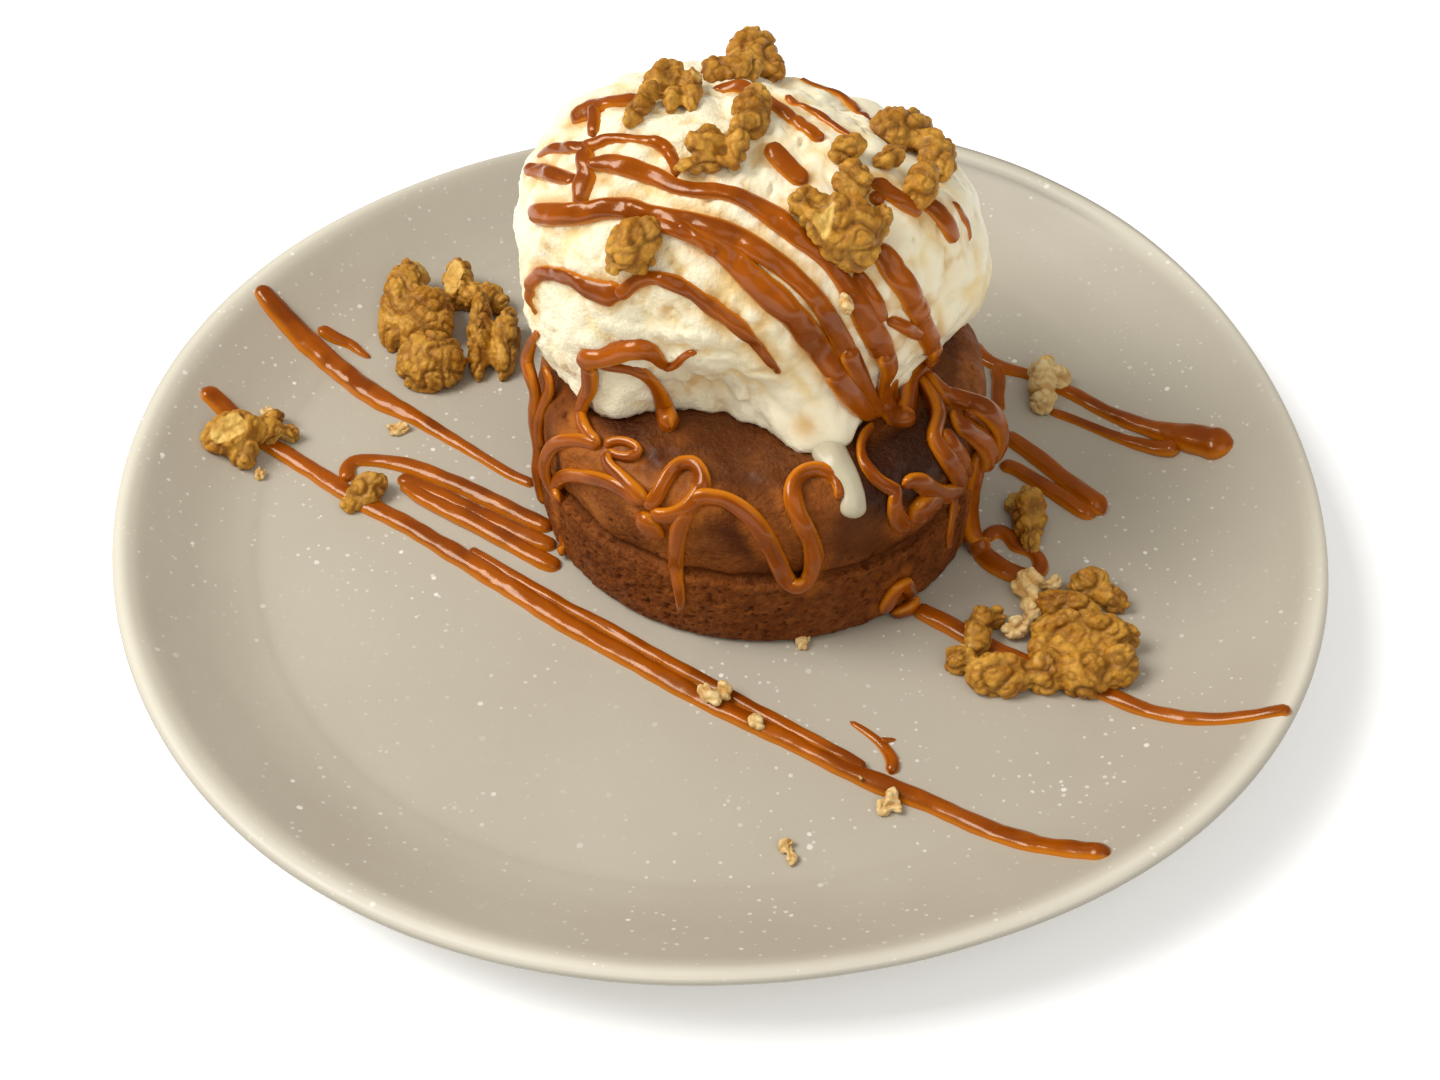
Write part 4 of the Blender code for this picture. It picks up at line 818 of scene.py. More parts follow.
def strand_grid(rows, carrier, seed, laid, rise=STRAND_RISE, round_end=1.0):
    """Strand along rows of x, y, z and half width. Each section is an uneven half round whose foot follows
    what carries it. It climbs over the strands laid before it, and its two ends are rounded off."""
    rows, at = even_rows(rows, STRAND_STEP)
    centre, up = carrier(rows[:, :3])
    ahead = np.gradient(centre, axis=0)
    side = np.cross(ahead, up)
    side /= np.linalg.norm(side, axis=1, keepdims=True)
    half = uneven_half(rows, at, seed)
    end = np.minimum(at, at[-1] - at) / (half * round_end)
    close = np.sqrt(1 - (1 - np.clip(end, 0.03, 1)) ** 2)
    half = half * close
    climb = np.zeros(len(rows))
    if laid:
        over = np.vstack(laid)
        apart = np.linalg.norm(centre[:, None] - over[None, :, :3], axis=-1)
        reach = 0.95 * (half[:, None] + over[None, :, 3])
        climb = (0.85 * over[:, 4] * np.clip(1 - (apart / reach) ** 2, 0, 1)).max(1)
        window = np.hanning(9) / np.hanning(9).sum()
        climb = np.convolve(np.pad(climb, 4, mode="edge"), window, mode="valid")
    laid.append(np.column_stack([centre, half, climb + rise * half]))
    turn = np.linspace(0, np.pi, STRAND_TOP)
    across = np.concatenate([np.cos(turn), [-0.85, 0, 0.85]])
    over = np.concatenate([np.sin(turn) ** 0.85, np.full(3, -1.0)])
    top = over >= 0
    spots = centre[:, None] + side[:, None] * (half[:, None] * across)[..., None]
    foot, out = carrier(spots)
    streak = strand_noise(across * 1.6, at / 11, seed, 0.8, 3)
    wave = strand_noise(across * 0.5, at / 4, seed, 1.0, 5)
    crest = over * rise * half[:, None] * (1 + 0.16 * streak + 0.12 * wave) + climb[:, None]
    lift = np.where(top, crest, 0.5 * climb[:, None] - STRAND_SINK * close[:, None])
    # paler at the edges: shallow caramel at the feet, and partly a painted highlight along the rims
    thin_and_rim_glint = np.broadcast_to(np.where(top, 1 - np.sin(np.append(turn, [0, 0, 0])) ** 1.5, 1.0), lift.shape)
    return foot + out * lift[..., None], thin_and_rim_glint, streak


def hanging_grid(rows, seed):
    """Strand along rows of x, y, z and half width with a flattened round section of its own, its broad side
    turned away from the middle of the food, and its two ends rounded off."""
    rows, at = even_rows(rows, STRAND_STEP)
    centre = rows[:, :3]
    ahead = np.gradient(centre, axis=0)
    ahead /= np.linalg.norm(ahead, axis=1, keepdims=True)
    side = np.cross(ahead, centre - np.array(FOOD_MIDDLE))
    side /= np.linalg.norm(side, axis=1, keepdims=True)
    up = np.cross(side, ahead)
    half = uneven_half(rows, at, seed)
    half = half * np.sqrt(1 - (1 - np.clip(np.minimum(at, at[-1] - at) / half, 0.03, 1)) ** 2)
    turn = np.linspace(0, 2 * np.pi, 2 * STRAND_TOP, endpoint=False)
    across, over = np.cos(turn), np.sin(turn)
    streak = strand_noise(across * 1.6, at / 11, seed, 0.8, 3)
    rise = STRAND_RISE * half[:, None] * over * (1 + 0.14 * streak)
    points = centre[:, None] + side[:, None] * (half[:, None] * across)[..., None]
    points = points + up[:, None] * rise[..., None]
    # paler at the edges, as a painted highlight along the rims
    thin_and_rim_glint = np.broadcast_to(1 - np.abs(over) ** 1.5, rise.shape)
    return points, thin_and_rim_glint, streak


def stain(points, laid):
    """How near points lie to strands given by rows of x, y, z and half width: 1 at a strand, 0 beyond."""
    over = np.vstack(laid)[::2]     # every second row is close enough
    flat = points.reshape(-1, 3)
    near = np.full(len(flat), 99.0)
    for part in np.array_split(over, max(1, len(over) // 40)):
        gap = (flat ** 2).sum(1)[:, None] + (part[:, :3] ** 2).sum(1) - 2 * flat @ part[:, :3].T
        near = np.minimum(near, (np.sqrt(np.maximum(gap, 0)) - part[:, 3]).min(1))
    return smooth(-near.reshape(points.shape[:-1]), -STAIN_REACH, 0.3)


def picked_lumps(rows, gap, lift=None):
    """Middles of lumps picked from the picture, and their three half axes. Length and width are laid from the
    picture towards the surface that carries the lump, and the height stands square to it."""
    across, down, long, wide, high, turn = np.array(rows, dtype=float).T
    right, up, ahead = view_axes()
    middles = seen_on(across, down, gap, LUMP_SEAT * high if lift is None else lift)
    steps = np.eye(3) * 0.3
    normal = np.stack([gap(middles + step) - gap(middles - step) for step in steps], -1)
    normal /= np.linalg.norm(normal, axis=1, keepdims=True)
    turn = np.radians(turn)[:, None]
    axes = []
    for way, half in ((np.cos(turn) * right + np.sin(turn) * up, long),
                      (np.cos(turn) * up - np.sin(turn) * right, wide)):
        slide = (way * normal).sum(1) / np.minimum(normal @ ahead, -0.4)
        axes.append((way - LUMP_LEAN * slide[:, None] * ahead) * half[:, None])
    return middles, np.stack([*axes, normal * high[:, None]], 1) * LUMP_GROWTH


def fused_mesh(name, middles, axes):
    """Mesh of lumps fused on a grid of voxels and smoothed. Each lump is a ball stretched by its axes."""
    elevation, bearing = np.meshgrid(np.linspace(-80, 80, 16), np.linspace(0, 360, 32, endpoint=False),
                                     indexing="ij")
    ball = direction(bearing, elevation)
    lump = bpy.data.objects.new(name, joined_mesh(name, [ball @ axis + middle for middle, axis
                                                         in zip(middles, axes)]))
    bpy.context.scene.collection.objects.link(lump)
    fuse = lump.modifiers.new("fuse", "REMESH")
    fuse.mode, fuse.voxel_size = "VOXEL", NUT_VOXEL
    soften = lump.modifiers.new("soften", "SMOOTH")
    soften.factor, soften.iterations = 0.5, NUT_SMOOTH
    bpy.context.view_layer.update()
    mesh = bpy.data.meshes.new_from_object(lump.evaluated_get(bpy.context.evaluated_depsgraph_get()))
    spent = lump.data
    bpy.data.objects.remove(lump)
    bpy.data.meshes.remove(spent)
    mesh.name = name
    return mesh


def kernel_relief(points, normals, middles, axes, seed):
    """Broken walnut from fused lumps. Some lumps lose a cap at a flat face. Folds are cut in along normals
    where noise crosses zero, and fine grain is added. Gives the points, how deep in a fold each lies, which
    is painted as shade, and the broken faces."""
    draw = np.random.default_rng(seed)
    far = np.linalg.norm(points[:, None] - middles, axis=-1)
    nearest = far.argmin(1)
    ranked = np.sort(np.column_stack([far, np.full(len(far), 99.0)]), axis=1)
    alone = smooth(ranked[:, 1] - ranked[:, 0], 0.0, 1.4)
    broken = np.zeros(len(points))
    for index, (middle, axis) in enumerate(zip(middles, axes)):
        face = draw.normal(size=3) + (0, -0.7, 1.0)
        face /= np.linalg.norm(face)
        depth = draw.uniform(*BREAK_DEPTH) * np.linalg.norm(axis @ face)
        if draw.uniform() > BREAK_SHARE:
            continue
        over = (points - middle) @ face - depth - 0.2 * lumps(points, 1.6, seed + 62)
        over = np.where(nearest == index, np.maximum(over, 0) * alone, 0)
        points = points - over[:, None] * face
        broken = np.maximum(broken, smooth(over, 0.05, 0.3))
    crease_shade, sink = np.zeros(len(points)), np.zeros(len(points))
    for long, deep, wide, step in FOLDS:
        cut = np.exp(-(lumps(points, long, seed + step) / wide) ** 2)
        sink += deep * cut * (1 - 0.6 * broken)
        crease_shade = np.maximum(crease_shade, cut * min(1.0, deep / 0.6))
    rise = layered(points, NUT_GRAIN, seed) - sink
    return points + normals * rise[:, None], crease_shade * (1 - 0.7 * broken), broken


def add_node(tree, kind, inputs=(), **settings):
    """Shader node with its settings, and its inputs set to numbers and colours or joined to other outputs."""
    made = tree.nodes.new(kind)
    for name, value in settings.items():
        setattr(made, name, value)
    for name, value in dict(inputs).items():
        if isinstance(value, bpy.types.NodeSocket):
            tree.links.new(value, made.inputs[name])
        else:
            made.inputs[name].default_value = value
    return made


def new_group(name, inputs, outputs):
    """Empty shader node group with named number, vector and colour sockets, and its two end nodes."""
    tree = bpy.data.node_groups.new(name, "ShaderNodeTree")
    kinds = {float: "NodeSocketFloat", tuple: "NodeSocketColor", None: "NodeSocketVector"}
    for label, value in inputs.items():
        kind = kinds[None] if value is None else kinds[type(value)]
        socket = tree.interface.new_socket(label, in_out="INPUT", socket_type=kind)
        if value is not None:
            socket.default_value = value
    for label, kind in outputs.items():
        tree.interface.new_socket(label, in_out="OUTPUT", socket_type=kind)
    return tree, tree.nodes.new("NodeGroupInput").outputs, tree.nodes.new("NodeGroupOutput").inputs


def math(tree, operation, first, second=0.0, third=0.0):
    """Output of a Math node."""
    return add_node(tree, "ShaderNodeMath", {0: first, 1: second, 2: third}, operation=operation).outputs[0]


def ramp(tree, value, low, high, start=0.0, end=1.0):
    """Smooth passage from start to end as the value goes from low to high."""
    spread = add_node(tree, "ShaderNodeMapRange", {"Value": value, "From Min": low, "From Max": high,
                                                   "To Min": start, "To Max": end},
                      interpolation_type="SMOOTHSTEP")
    return spread.outputs["Result"]


def blend(tree, factor, first, second, mode="MIX"):
    """Colour blend of two colours."""
    mix = add_node(tree, "ShaderNodeMix", data_type="RGBA", blend_type=mode)
    for index, value in ((0, factor), (6, first), (7, second)):
        if isinstance(value, bpy.types.NodeSocket):
            tree.links.new(value, mix.inputs[index])
        else:
            mix.inputs[index].default_value = value
    return mix.outputs[2]


def mottle_group():
    """Uneven shade: noise about one size in mm long, spread from 0 to 1 by its contrast."""
    tree, given, result = new_group("mottle", {"Place": None, "Size": 10.0, "Detail": 2.0, "Contrast": 1.0},
                                    {"Shade": "NodeSocketFloat"})
    scale = math(tree, "DIVIDE", 1 / MM, given["Size"])
    noise = add_node(tree, "ShaderNodeTexNoise", {"Vector": given["Place"], "Scale": scale,
                                                  "Detail": given["Detail"], "Roughness": 0.55})
    centred = math(tree, "SUBTRACT", noise.outputs["Fac"], 0.5)
    wide = math(tree, "MULTIPLY_ADD", centred, math(tree, "MULTIPLY", given["Contrast"], 2.5), 0.5)
    tree.links.new(math(tree, "MINIMUM", math(tree, "MAXIMUM", wide, 0.0), 1.0), result["Shade"])
    return tree


def specks_group():
    """Scattered specks: cells of one size in mm, of which a share holds a speck of its own size."""
    tree, given, result = new_group("specks", {"Place": None, "Cell": 3.0, "Share": 0.3, "Reach": 0.2,
                                               "Softness": 0.3}, {"Mask": "NodeSocketFloat"})
    scale = math(tree, "DIVIDE", 1 / MM, given["Cell"])
    wobble = add_node(tree, "ShaderNodeTexNoise", {"Vector": given["Place"], "Scale":
                                                   math(tree, "MULTIPLY", scale, 3.0)})
    moved = add_node(tree, "ShaderNodeVectorMath", {0: wobble.outputs["Color"], 1: (0.0004, 0.0004, 0.0004)},
                     operation="MULTIPLY")
    place = add_node(tree, "ShaderNodeVectorMath", {0: given["Place"], 1: moved.outputs[0]}, operation="ADD")
    cells = add_node(tree, "ShaderNodeTexVoronoi", {"Vector": place.outputs[0], "Scale": scale})
    parts = add_node(tree, "ShaderNodeSeparateColor", {"Color": cells.outputs["Color"]})
    chosen = math(tree, "LESS_THAN", parts.outputs["Red"], given["Share"])
    own_size = math(tree, "MULTIPLY_ADD", parts.outputs["Green"], 0.9, 0.35)
    reach = math(tree, "MULTIPLY", given["Reach"], own_size)
    inner = math(tree, "MULTIPLY", reach, math(tree, "SUBTRACT", 1.0, given["Softness"]))
    mask = ramp(tree, cells.outputs["Distance"], inner, reach, 1.0, 0.0)
    tree.links.new(math(tree, "MULTIPLY", mask, chosen), result["Mask"])
    return tree


MOTTLE = mottle_group()
SPECKS = specks_group()


def new_material(name, **constants):
    """Material with its Principled shader, whose constant inputs are given by name, and its place output."""
    finish = bpy.data.materials.new(name)
    finish.use_nodes = True
    tree = finish.node_tree
    shader = tree.nodes["Principled BSDF"]
    for socket, value in constants.items():
        shader.inputs[socket.replace("_", " ")].default_value = value
    place = add_node(tree, "ShaderNodeTexCoord").outputs["Object"]
    return finish, tree, shader, place


def shade(tree, place, size, contrast=1.0, detail=2.0):
    """Output of a mottle group at one size."""
    made = add_node(tree, "ShaderNodeGroup", node_tree=MOTTLE)
    tree.links.new(place, made.inputs["Place"])
    made.inputs["Size"].default_value = size
    made.inputs["Detail"].default_value = detail
    made.inputs["Contrast"].default_value = contrast
    return made.outputs["Shade"]


def speckle(tree, place, cell, share, reach, softness=0.3):
    """Output of a specks group."""
    made = add_node(tree, "ShaderNodeGroup", node_tree=SPECKS)
    tree.links.new(place, made.inputs["Place"])
    for label, value in (("Cell", cell), ("Share", share), ("Reach", reach), ("Softness", softness)):
        made.inputs[label].default_value = value
    return made.outputs["Mask"]


def mark(tree, name):
    """Output of a number kept at the vertices."""
    return add_node(tree, "ShaderNodeAttribute", attribute_name=name).outputs["Fac"]


def bump(tree, shader, height, distance, strength=1.0):
    """Relief from a height in shares of a distance in mm."""
    made = add_node(tree, "ShaderNodeBump", {"Height": height, "Distance": distance * MM,
                                             "Strength": strength})
    tree.links.new(made.outputs["Normal"], shader.inputs["Normal"])


def glaze_material():
    """Warm grey glaze with white and a few brown specks, paler at the lip, painted shade on the rim's outer
    side and underside, bare clay under the foot.
    """
    finish, tree, shader, place = new_material("speckled_glaze", IOR=1.5, Coat_Roughness=0.3)
    cloud = shade(tree, place, 60.0, 0.8)
    colour = blend(tree, cloud, GLAZE, GLAZE_DARK)
    colour = blend(tree, math(tree, "MULTIPLY", mark(tree, "lip"), 0.8), colour, GLAZE_LIGHT)
    fine = speckle(tree, place, 1.9, 0.6, 0.22)
    coarse = speckle(tree, place, 4.2, 0.5, 0.15)
    white = math(tree, "MAXIMUM", math(tree, "MULTIPLY", fine, 0.4), math(tree, "MULTIPLY", coarse, 0.65))
    patchy = math(tree, "MULTIPLY", white, ramp(tree, shade(tree, place, 30.0), 0.2, 0.8, 0.15, 1.0))
    colour = blend(tree, patchy, colour, SPECK_WHITE)
    brown = speckle(tree, place, 14.0, 0.12, 0.045)
    colour = blend(tree, brown, colour, SPECK_BROWN)
    # painted shade: the rim's outer side and the underside darker
    colour = blend(tree, math(tree, "MULTIPLY", mark(tree, "wall_shade"), 0.85), colour, GLAZE_WALL_SHADE)
    clay = mark(tree, "foot")
    colour = blend(tree, clay, colour, CLAY)
    tree.links.new(colour, shader.inputs["Base Color"])
    rough = math(tree, "MULTIPLY_ADD", shade(tree, place, 16.0), 0.14, 0.42)
    tree.links.new(math(tree, "MULTIPLY_ADD", clay, 0.4, rough), shader.inputs["Roughness"])
    tree.links.new(math(tree, "MULTIPLY_ADD", clay, -0.1, 0.1), shader.inputs["Coat Weight"])
    relief = math(tree, "MULTIPLY_ADD", white, 0.25, shade(tree, place, 5.0, 0.6))
    bump(tree, shader, relief, 0.12, 0.5)
    return finish


def crust_material():
    """Baked date crumb: brown mottled lighter and darker, a drier ring, painted shade in its pits, pores and
    torn seam, and a glossy syrup corner and top under the ice cream darkened as syrup and as painted shade.
    """
    finish, tree, shader, place = new_material("date_crumb", Specular_IOR_Level=0.2, Coat_Roughness=0.3,
                                               Specular_Tint=(1, 0.7, 0.45, 1), Coat_Tint=(1, 0.75, 0.5, 1))
    colour = blend(tree, shade(tree, place, 9.0, 1.2), CRUST, CRUST_LIGHT)
    colour = blend(tree, shade(tree, place, 26.0, 1.4), colour, CRUST_DARK)
    ring = mark(tree, "ring")
    dry = blend(tree, math(tree, "MULTIPLY", shade(tree, place, 2.2, 1.4, 4.0), 0.4), RING, CRUST_LIGHT)
    colour = blend(tree, math(tree, "MULTIPLY", ring, 0.8), colour, dry)
    colour = blend(tree, math(tree, "MULTIPLY", shade(tree, place, 1.4, 1.3, 3.0), 0.4), colour, CRUST_DARK)
    # painted shade: pits, pores and the torn seam darkened
    colour = blend(tree, mark(tree, "pore_shade"), colour, CRUST_DARK)
    film = math(tree, "MULTIPLY", mark(tree, "stain"),
                ramp(tree, shade(tree, place, 11.0, 1.5), 0.15, 0.8, 0.1, 0.85))
    colour = blend(tree, film, colour, FILM)
    # painted shade and syrup: that patch and the top under the ice cream darker, and glossier below
    wet_and_shade = mark(tree, "wet_and_shade")
    colour = blend(tree, math(tree, "MINIMUM", math(tree, "MULTIPLY", wet_and_shade, 1.1), 0.95), colour, SYRUP_AND_SHADE)
    tree.links.new(colour, shader.inputs["Base Color"])
    rough = math(tree, "MULTIPLY_ADD", shade(tree, place, 7.0, 1.3), 0.25, 0.5)
    tree.links.new(math(tree, "MULTIPLY_ADD", wet_and_shade, -0.35, rough), shader.inputs["Roughness"])
    gloss = math(tree, "MULTIPLY", math(tree, "SUBTRACT", 1.0, ring), shade(tree, place, 12.0, 1.4))
    tree.links.new(math(tree, "MULTIPLY_ADD", wet_and_shade, 0.3, math(tree, "MULTIPLY", gloss, 0.08)),
                   shader.inputs["Coat Weight"])
    relief = math(tree, "ADD", shade(tree, place, 0.9, 1.2, 3.0), math(tree, "MULTIPLY",
                                                                      shade(tree, place, 2.4), 1.5))
    bump(tree, shader, relief, 0.3, 0.7)
    return finish


def cream_material():
    """Soft ice cream: near white, deeper yellow in its hollows as painted shade, tan near the caramel and in
    pits and hollows under folds, the latter as painted shade, the melted run greyed as painted shade, and a
    little light passing through it.
    """
    finish, tree, shader, place = new_material("ice_cream", IOR=1.4, Subsurface_Weight=0.15,
                                               Subsurface_Scale=0.002, Coat_Roughness=0.3)
    shader.inputs["Subsurface Radius"].default_value = (1.0, 0.7, 0.35)
    # painted shade: the hollows between folds deeper yellow
    hollow_shading = math(tree, "MULTIPLY", mark(tree, "hollow_shade"), ramp(tree, shade(tree, place, 12.0), 0.1, 0.9))
    colour = blend(tree, math(tree, "MULTIPLY", hollow_shading, 0.75), CREAM, CREAM_HOLLOW_SHADE)
    # tan: stained by caramel near the strands, and painted shade in the listed pits and hollows
    stain_and_shade_share = math(tree, "MULTIPLY", mark(tree, "stain"),
                ramp(tree, shade(tree, place, 6.0, 1.5), 0.15, 0.8, 0.1, 0.85))
    colour = blend(tree, stain_and_shade_share, colour, CREAM_STAIN_AND_SHADE)
    # painted shade: the melted run greyed as if in the shadow of the mound
    colour = blend(tree, mark(tree, "drip_shade"), colour, CREAM_DRIP_SHADE)
    tree.links.new(colour, shader.inputs["Base Color"])
    froth = mark(tree, "froth")
    rough = math(tree, "MULTIPLY_ADD", froth, 0.25, 0.34)
    tree.links.new(rough, shader.inputs["Roughness"])
    tree.links.new(math(tree, "MULTIPLY_ADD", froth, -0.15, 0.2), shader.inputs["Coat Weight"])
    relief = math(tree, "MULTIPLY", shade(tree, place, 0.8, 1.2, 3.0), froth)
    bump(tree, shader, relief, 0.25, 0.6)
    return finish


def caramel_material():
    """Thick caramel: amber brown, deeper in its streaks, brighter at its edges: where it runs out at the
    foot, and as a painted highlight along the rims.
    """
    finish, tree, shader, place = new_material("caramel", Specular_IOR_Level=0.4, Coat_Weight=0.4,
                                               Coat_Roughness=0.08, Specular_Tint=(1, 0.7, 0.35, 1),
                                               Coat_Tint=(1, 0.85, 0.6, 1))
    colour = blend(tree, ramp(tree, shade(tree, place, 14.0, 1.2), 0.3, 0.9, 0.0, 0.7), CARAMEL, CARAMEL_DEEP)
    colour = blend(tree, ramp(tree, mark(tree, "streak"), -0.5, 0.6, 0.35, 0.0), colour, CARAMEL_DEEP)
    # edges brighter: shallow caramel, and partly a painted highlight along the rims
    colour = blend(tree, ramp(tree, mark(tree, "thin_and_rim_glint"), 0.35, 1.0, 0.0, 0.85), colour, CARAMEL_THIN_AND_GLINT)
    tree.links.new(colour, shader.inputs["Base Color"])
    rough = math(tree, "MULTIPLY_ADD", shade(tree, place, 6.0), 0.14, 0.22)
    tree.links.new(rough, shader.inputs["Roughness"])
    bump(tree, shader, shade(tree, place, 1.8, 1.0), 0.12, 0.3)
    return finish


def walnut_material(name, light, middle, dark):
    """Walnut: skin mottled lighter and darker with fine dark veins, painted shade in the creases, and a faint
    shine of oil.
    """
    finish, tree, shader, place = new_material(name, Specular_IOR_Level=0.35, Coat_Roughness=0.35,
                                               Specular_Tint=(1, 0.8, 0.5, 1), Coat_Tint=(1, 0.9, 0.7, 1))
    colour = blend(tree, shade(tree, place, 5.0, 1.5), middle, light)
    colour = blend(tree, math(tree, "MULTIPLY", shade(tree, place, 1.3, 1.3, 3.0), 0.35), colour, dark)
    # painted shade: the folds darkened
    colour = blend(tree, math(tree, "MULTIPLY", mark(tree, "crease_shade"), 0.62), colour, dark)
    flesh = math(tree, "MULTIPLY", mark(tree, "broken"),
                 ramp(tree, shade(tree, place, 4.0), 0.2, 0.7, 0.3, 0.85))
    colour = blend(tree, flesh, colour, WALNUT_FLESH)
    tree.links.new(colour, shader.inputs["Base Color"])
    rough = math(tree, "MULTIPLY_ADD", shade(tree, place, 3.0), 0.25, 0.36)
    tree.links.new(rough, shader.inputs["Roughness"])
    tree.links.new(math(tree, "MULTIPLY", shade(tree, place, 4.0, 1.4), 0.3), shader.inputs["Coat Weight"])
    bump(tree, shader, shade(tree, place, 0.7, 1.2, 4.0), 0.22, 0.6)
    return finish


def make_plate():
    """Plate with the caramel that lies on it."""
    points, foot, lip, wall_shade = plate_grid()
    plate = add_piece("plate_glazed", [points], glaze_material(),
                      [("foot", [foot]), ("lip", [lip]), ("wall_shade", [wall_shade])])
    grids, laid = [], []
    for seed, route in enumerate(PLATE_STRANDS.values()):
        grids.append(strand_grid(picked_route(route, plate_gap, PLATE_LIFT), plate_carrier, seed, laid))
    sauce = add_strands("caramel_on_plate", grids)
    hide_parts("plate")
    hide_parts("plate")


def add_strands(name, grids):
    """One caramel piece of several strands."""
    points, thin_and_rim_glint, streak = zip(*grids)
    return add_piece(name, points, CARAMEL_FINISH, [("thin_and_rim_glint", thin_and_rim_glint), ("streak", streak)])


def make_cake():
    """Cake with the caramel that runs over it."""
    grids, laid = [], []
    for seed, route in enumerate(FREE_STRANDS.values()):
        rows = picked_route(route, food_gap, HANGING_LIFT)
        grids.append(hanging_grid(rows, CAKE_SEED + seed))
        laid.append(np.column_stack([rows, rows[:, 3]]))
    points, pore_shade, ring, wet_and_shade = cake_grid()
    cake = add_piece("cake_crumb", [points], crust_material(),
                     [("pore_shade", [pore_shade]), ("ring", [ring]), ("wet_and_shade", [wet_and_shade]), ("stain", [stain(points, laid)])])
    sauce = add_strands("caramel_on_cake", grids)
    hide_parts("cake")
    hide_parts("cake")


def make_ice_cream():
    """Mound, its melted run and the caramel over it."""
    grids, laid = [], []
    for seed, route in enumerate(SCOOP_STRANDS.values()):
        rows = picked_route(route, scoop_gap, SCOOP_LIFT, SCOOP_SHARE)
        grids.append(strand_grid(rows, scoop_carrier, SCOOP_SEED + seed, laid))
    points, hollow_shade, froth = scoop_grid()
    # tan near the strands from caramel; the listed spots add painted shade in pits and hollows under folds
    stained_and_shaded = stain(points, laid)
    across, down, reach = np.array(SOAK_AND_SHADE_SPOTS, dtype=float).T
    spots = seen_on(across, down, scoop_gap, 0.0)
    away = np.linalg.norm(points[..., None, :] - spots, axis=-1)
    stained_and_shaded = np.maximum(stained_and_shaded, np.exp(-(away / reach) ** 2).max(-1))
    finish = cream_material()
    route = picked_route(DRIP, crust_gap, SCOOP_LIFT)
    drip, thin_and_rim_glint, _ = strand_grid(route, cake_carrier, DRIP_SEED, [], rise=DRIP_RISE)
    none = np.zeros_like(thin_and_rim_glint)
    # the melted run is marked for painted shade
    scoop = add_piece("ice_cream_mound", [points, drip], finish,
                      [("hollow_shade", [hollow_shade, none]), ("froth", [froth, none]), ("stain", [stained_and_shaded, none]),
                       ("drip_shade", [np.zeros_like(hollow_shade), none + 1])])
    sauce = add_strands("caramel_on_ice_cream", grids)
    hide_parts("ice_cream")
    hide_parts("ice_cream")


def make_kernel(name, rows, gap, seed, finish, lift=None):
    """One walnut piece of lumps picked from the picture, kept off the plate."""
    middles, axes = picked_lumps(rows, gap, lift)
    mesh = fused_mesh(name, middles, axes)
    points, crease_shade, broken = kernel_relief(mesh_array(mesh, "place"), mesh_array(mesh, "normal"), middles,
                                           axes, seed)
    floor = plate_height(points[:, 0], points[:, 1]) + LEAST_AIR
    points[:, 2] = np.maximum(points[:, 2], floor)
    return place_piece(mesh, points, finish, [("crease_shade", crease_shade), ("broken", broken)])


def make_walnuts():
    """Every walnut piece, each in place of its solid, and the crumbs round them."""
    brown = walnut_material("walnut", WALNUT_LIGHT, WALNUT, WALNUT_DARK)
    pale = walnut_material("walnut_pale", WALNUT_CREAM, WALNUT_PALE, WALNUT)
    for seed, (name, rows) in enumerate(NUTS.items()):
        gap = scoop_gap if name in ON_SCOOP else plate_gap
        label = "kernel_" + name.removeprefix("walnut_").removeprefix("nut_")
        finish = pale if "pale" in name else brown
        piece = make_kernel(label, rows, gap, NUT_SEED + seed * NUT_SEED_STEP, finish)
        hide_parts(name)
    rows, lift = crumb_lumps()
    make_kernel("walnut_crumbs", rows, crumb_gap, CRUMB_SEED, pale, lift)


def crumb_lumps():
    """Two lumps for each crumb, a larger one and a smaller one beside it, and how high they lie."""
    draw = np.random.default_rng(CRUMB_TURN_SEED)
    rows, lift = [], []
    for across, down, radius, height in CRUMBS:
        turn = draw.uniform(0, 180)
        rows.append((across, down, 0.8 * radius, 0.6 * radius, 0.55 * radius, turn))
        rows.append((across + draw.uniform(-5, 5), down + draw.uniform(-4, 4), 0.55 * radius, 0.4 * radius,
                     0.4 * radius, turn + 60))
        lift += [height, height]
    return rows, np.array(lift)


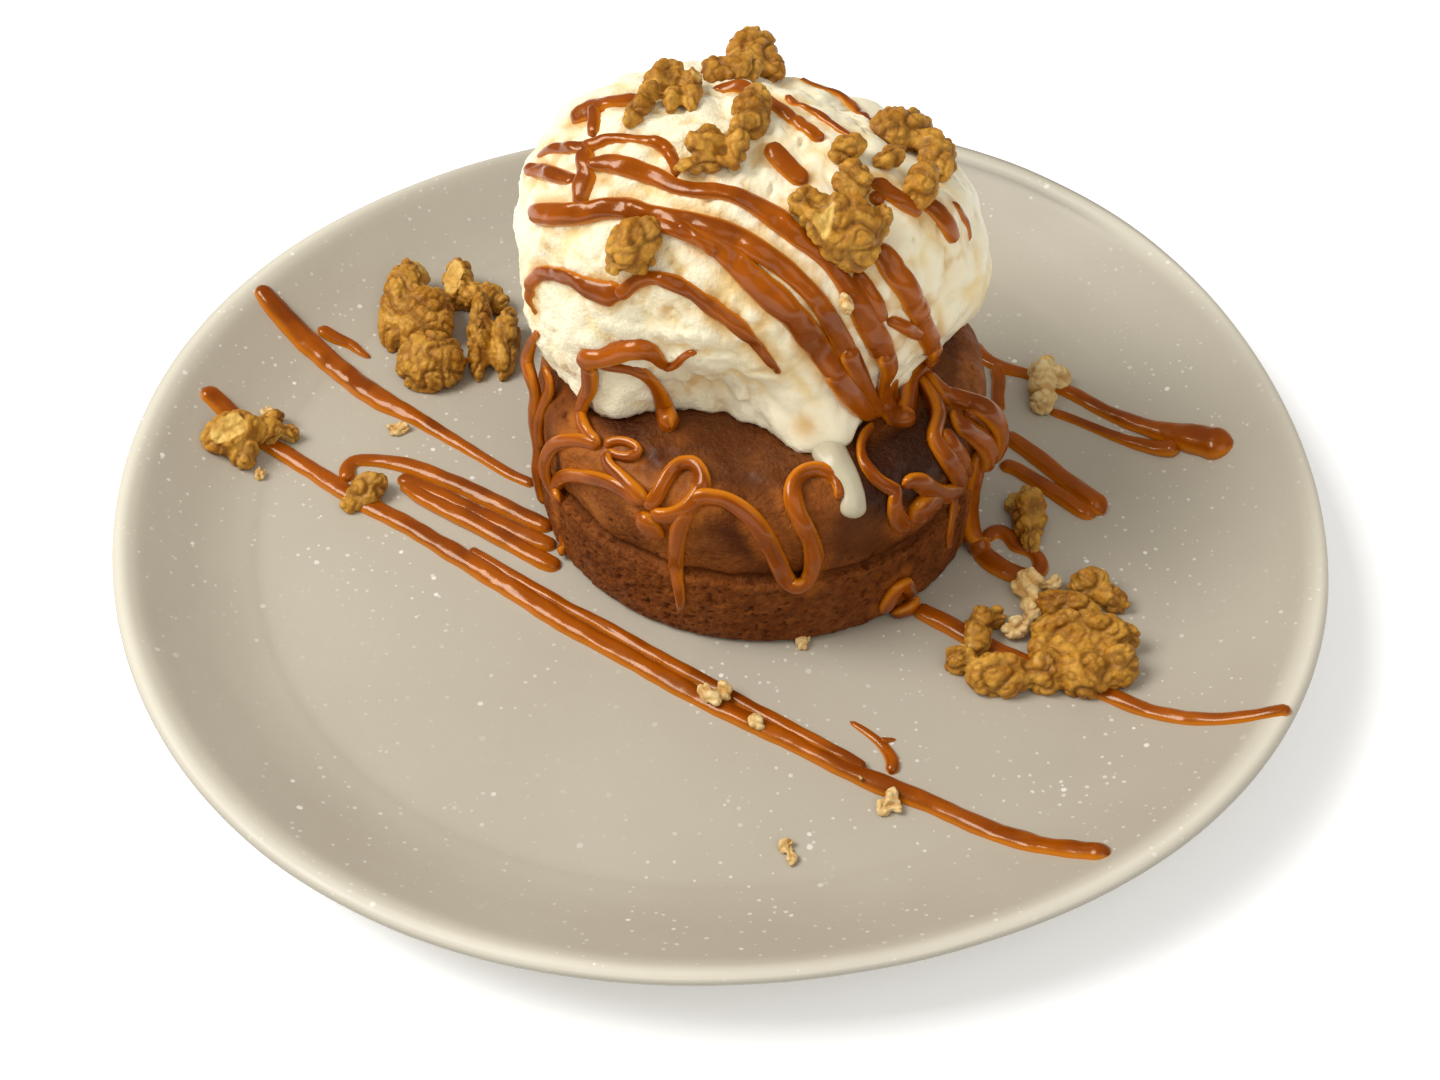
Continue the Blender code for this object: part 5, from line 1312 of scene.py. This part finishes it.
def make_studio():
    """Pale floor, soft window light from behind on the left, a weak fill, and the photograph's view."""
    floor = bpy.data.meshes.new("floor")
    side = 3.0
    corners = [(-side, -side, 0), (side, -side, 0), (side, side, 0), (-side, side, 0)]
    floor.from_pydata(corners, [], [(0, 1, 2, 3)])
    finish = new_material("floor", Base_Color=(0.96, 0.96, 0.96, 1), Roughness=0.8,
                          Emission_Color=(1, 1, 1, 1), Emission_Strength=0.24)[0]
    floor.materials.append(finish)
    table = bpy.data.objects.new("floor", floor)
    bpy.context.scene.collection.objects.link(table)
    target = Vector((np.array(LOOK_AT) + SHIFT) * MM)
    for name, place, size, power in LIGHTS:
        lamp = bpy.data.lights.new(name, "AREA")
        lamp.size, lamp.energy = size, power
        light = bpy.data.objects.new(name, lamp)
        light.location = place
        light.rotation_euler = (target - light.location).to_track_quat("-Z", "Y").to_euler()
        bpy.context.scene.collection.objects.link(light)
    world = bpy.data.worlds.new("studio")
    world.use_nodes = True
    background = world.node_tree.nodes["Background"]
    background.inputs["Color"].default_value = (1.0, 0.98, 0.94, 1)
    sky = world.node_tree
    ray = add_node(sky, "ShaderNodeLightPath").outputs
    strength = ramp(sky, ray["Is Glossy Ray"], 0.0, 1.0, *WORLD_LIGHT)
    strength = math(sky, "MAXIMUM", strength, math(sky, "MULTIPLY", ray["Is Camera Ray"], WORLD_SEEN))
    sky.links.new(strength, background.inputs["Strength"])
    bpy.context.scene.world = world
    bpy.context.scene.view_settings.view_transform = "Standard"
    camera = bpy.data.cameras.new("view")
    camera.lens, camera.sensor_width = LENS, SENSOR
    camera.clip_start = 0.01
    eye = bpy.data.objects.new("view", camera)
    eye.location = (np.array(EYE) + SHIFT) * MM
    eye.rotation_euler = (target - eye.location).to_track_quat("-Z", "Y").to_euler()
    bpy.context.scene.collection.objects.link(eye)
    bpy.context.scene.camera = eye


CARAMEL_FINISH = caramel_material()

make_plate()
make_cake()
make_ice_cream()
make_walnuts()
make_studio()

bpy.context.view_layer.update()
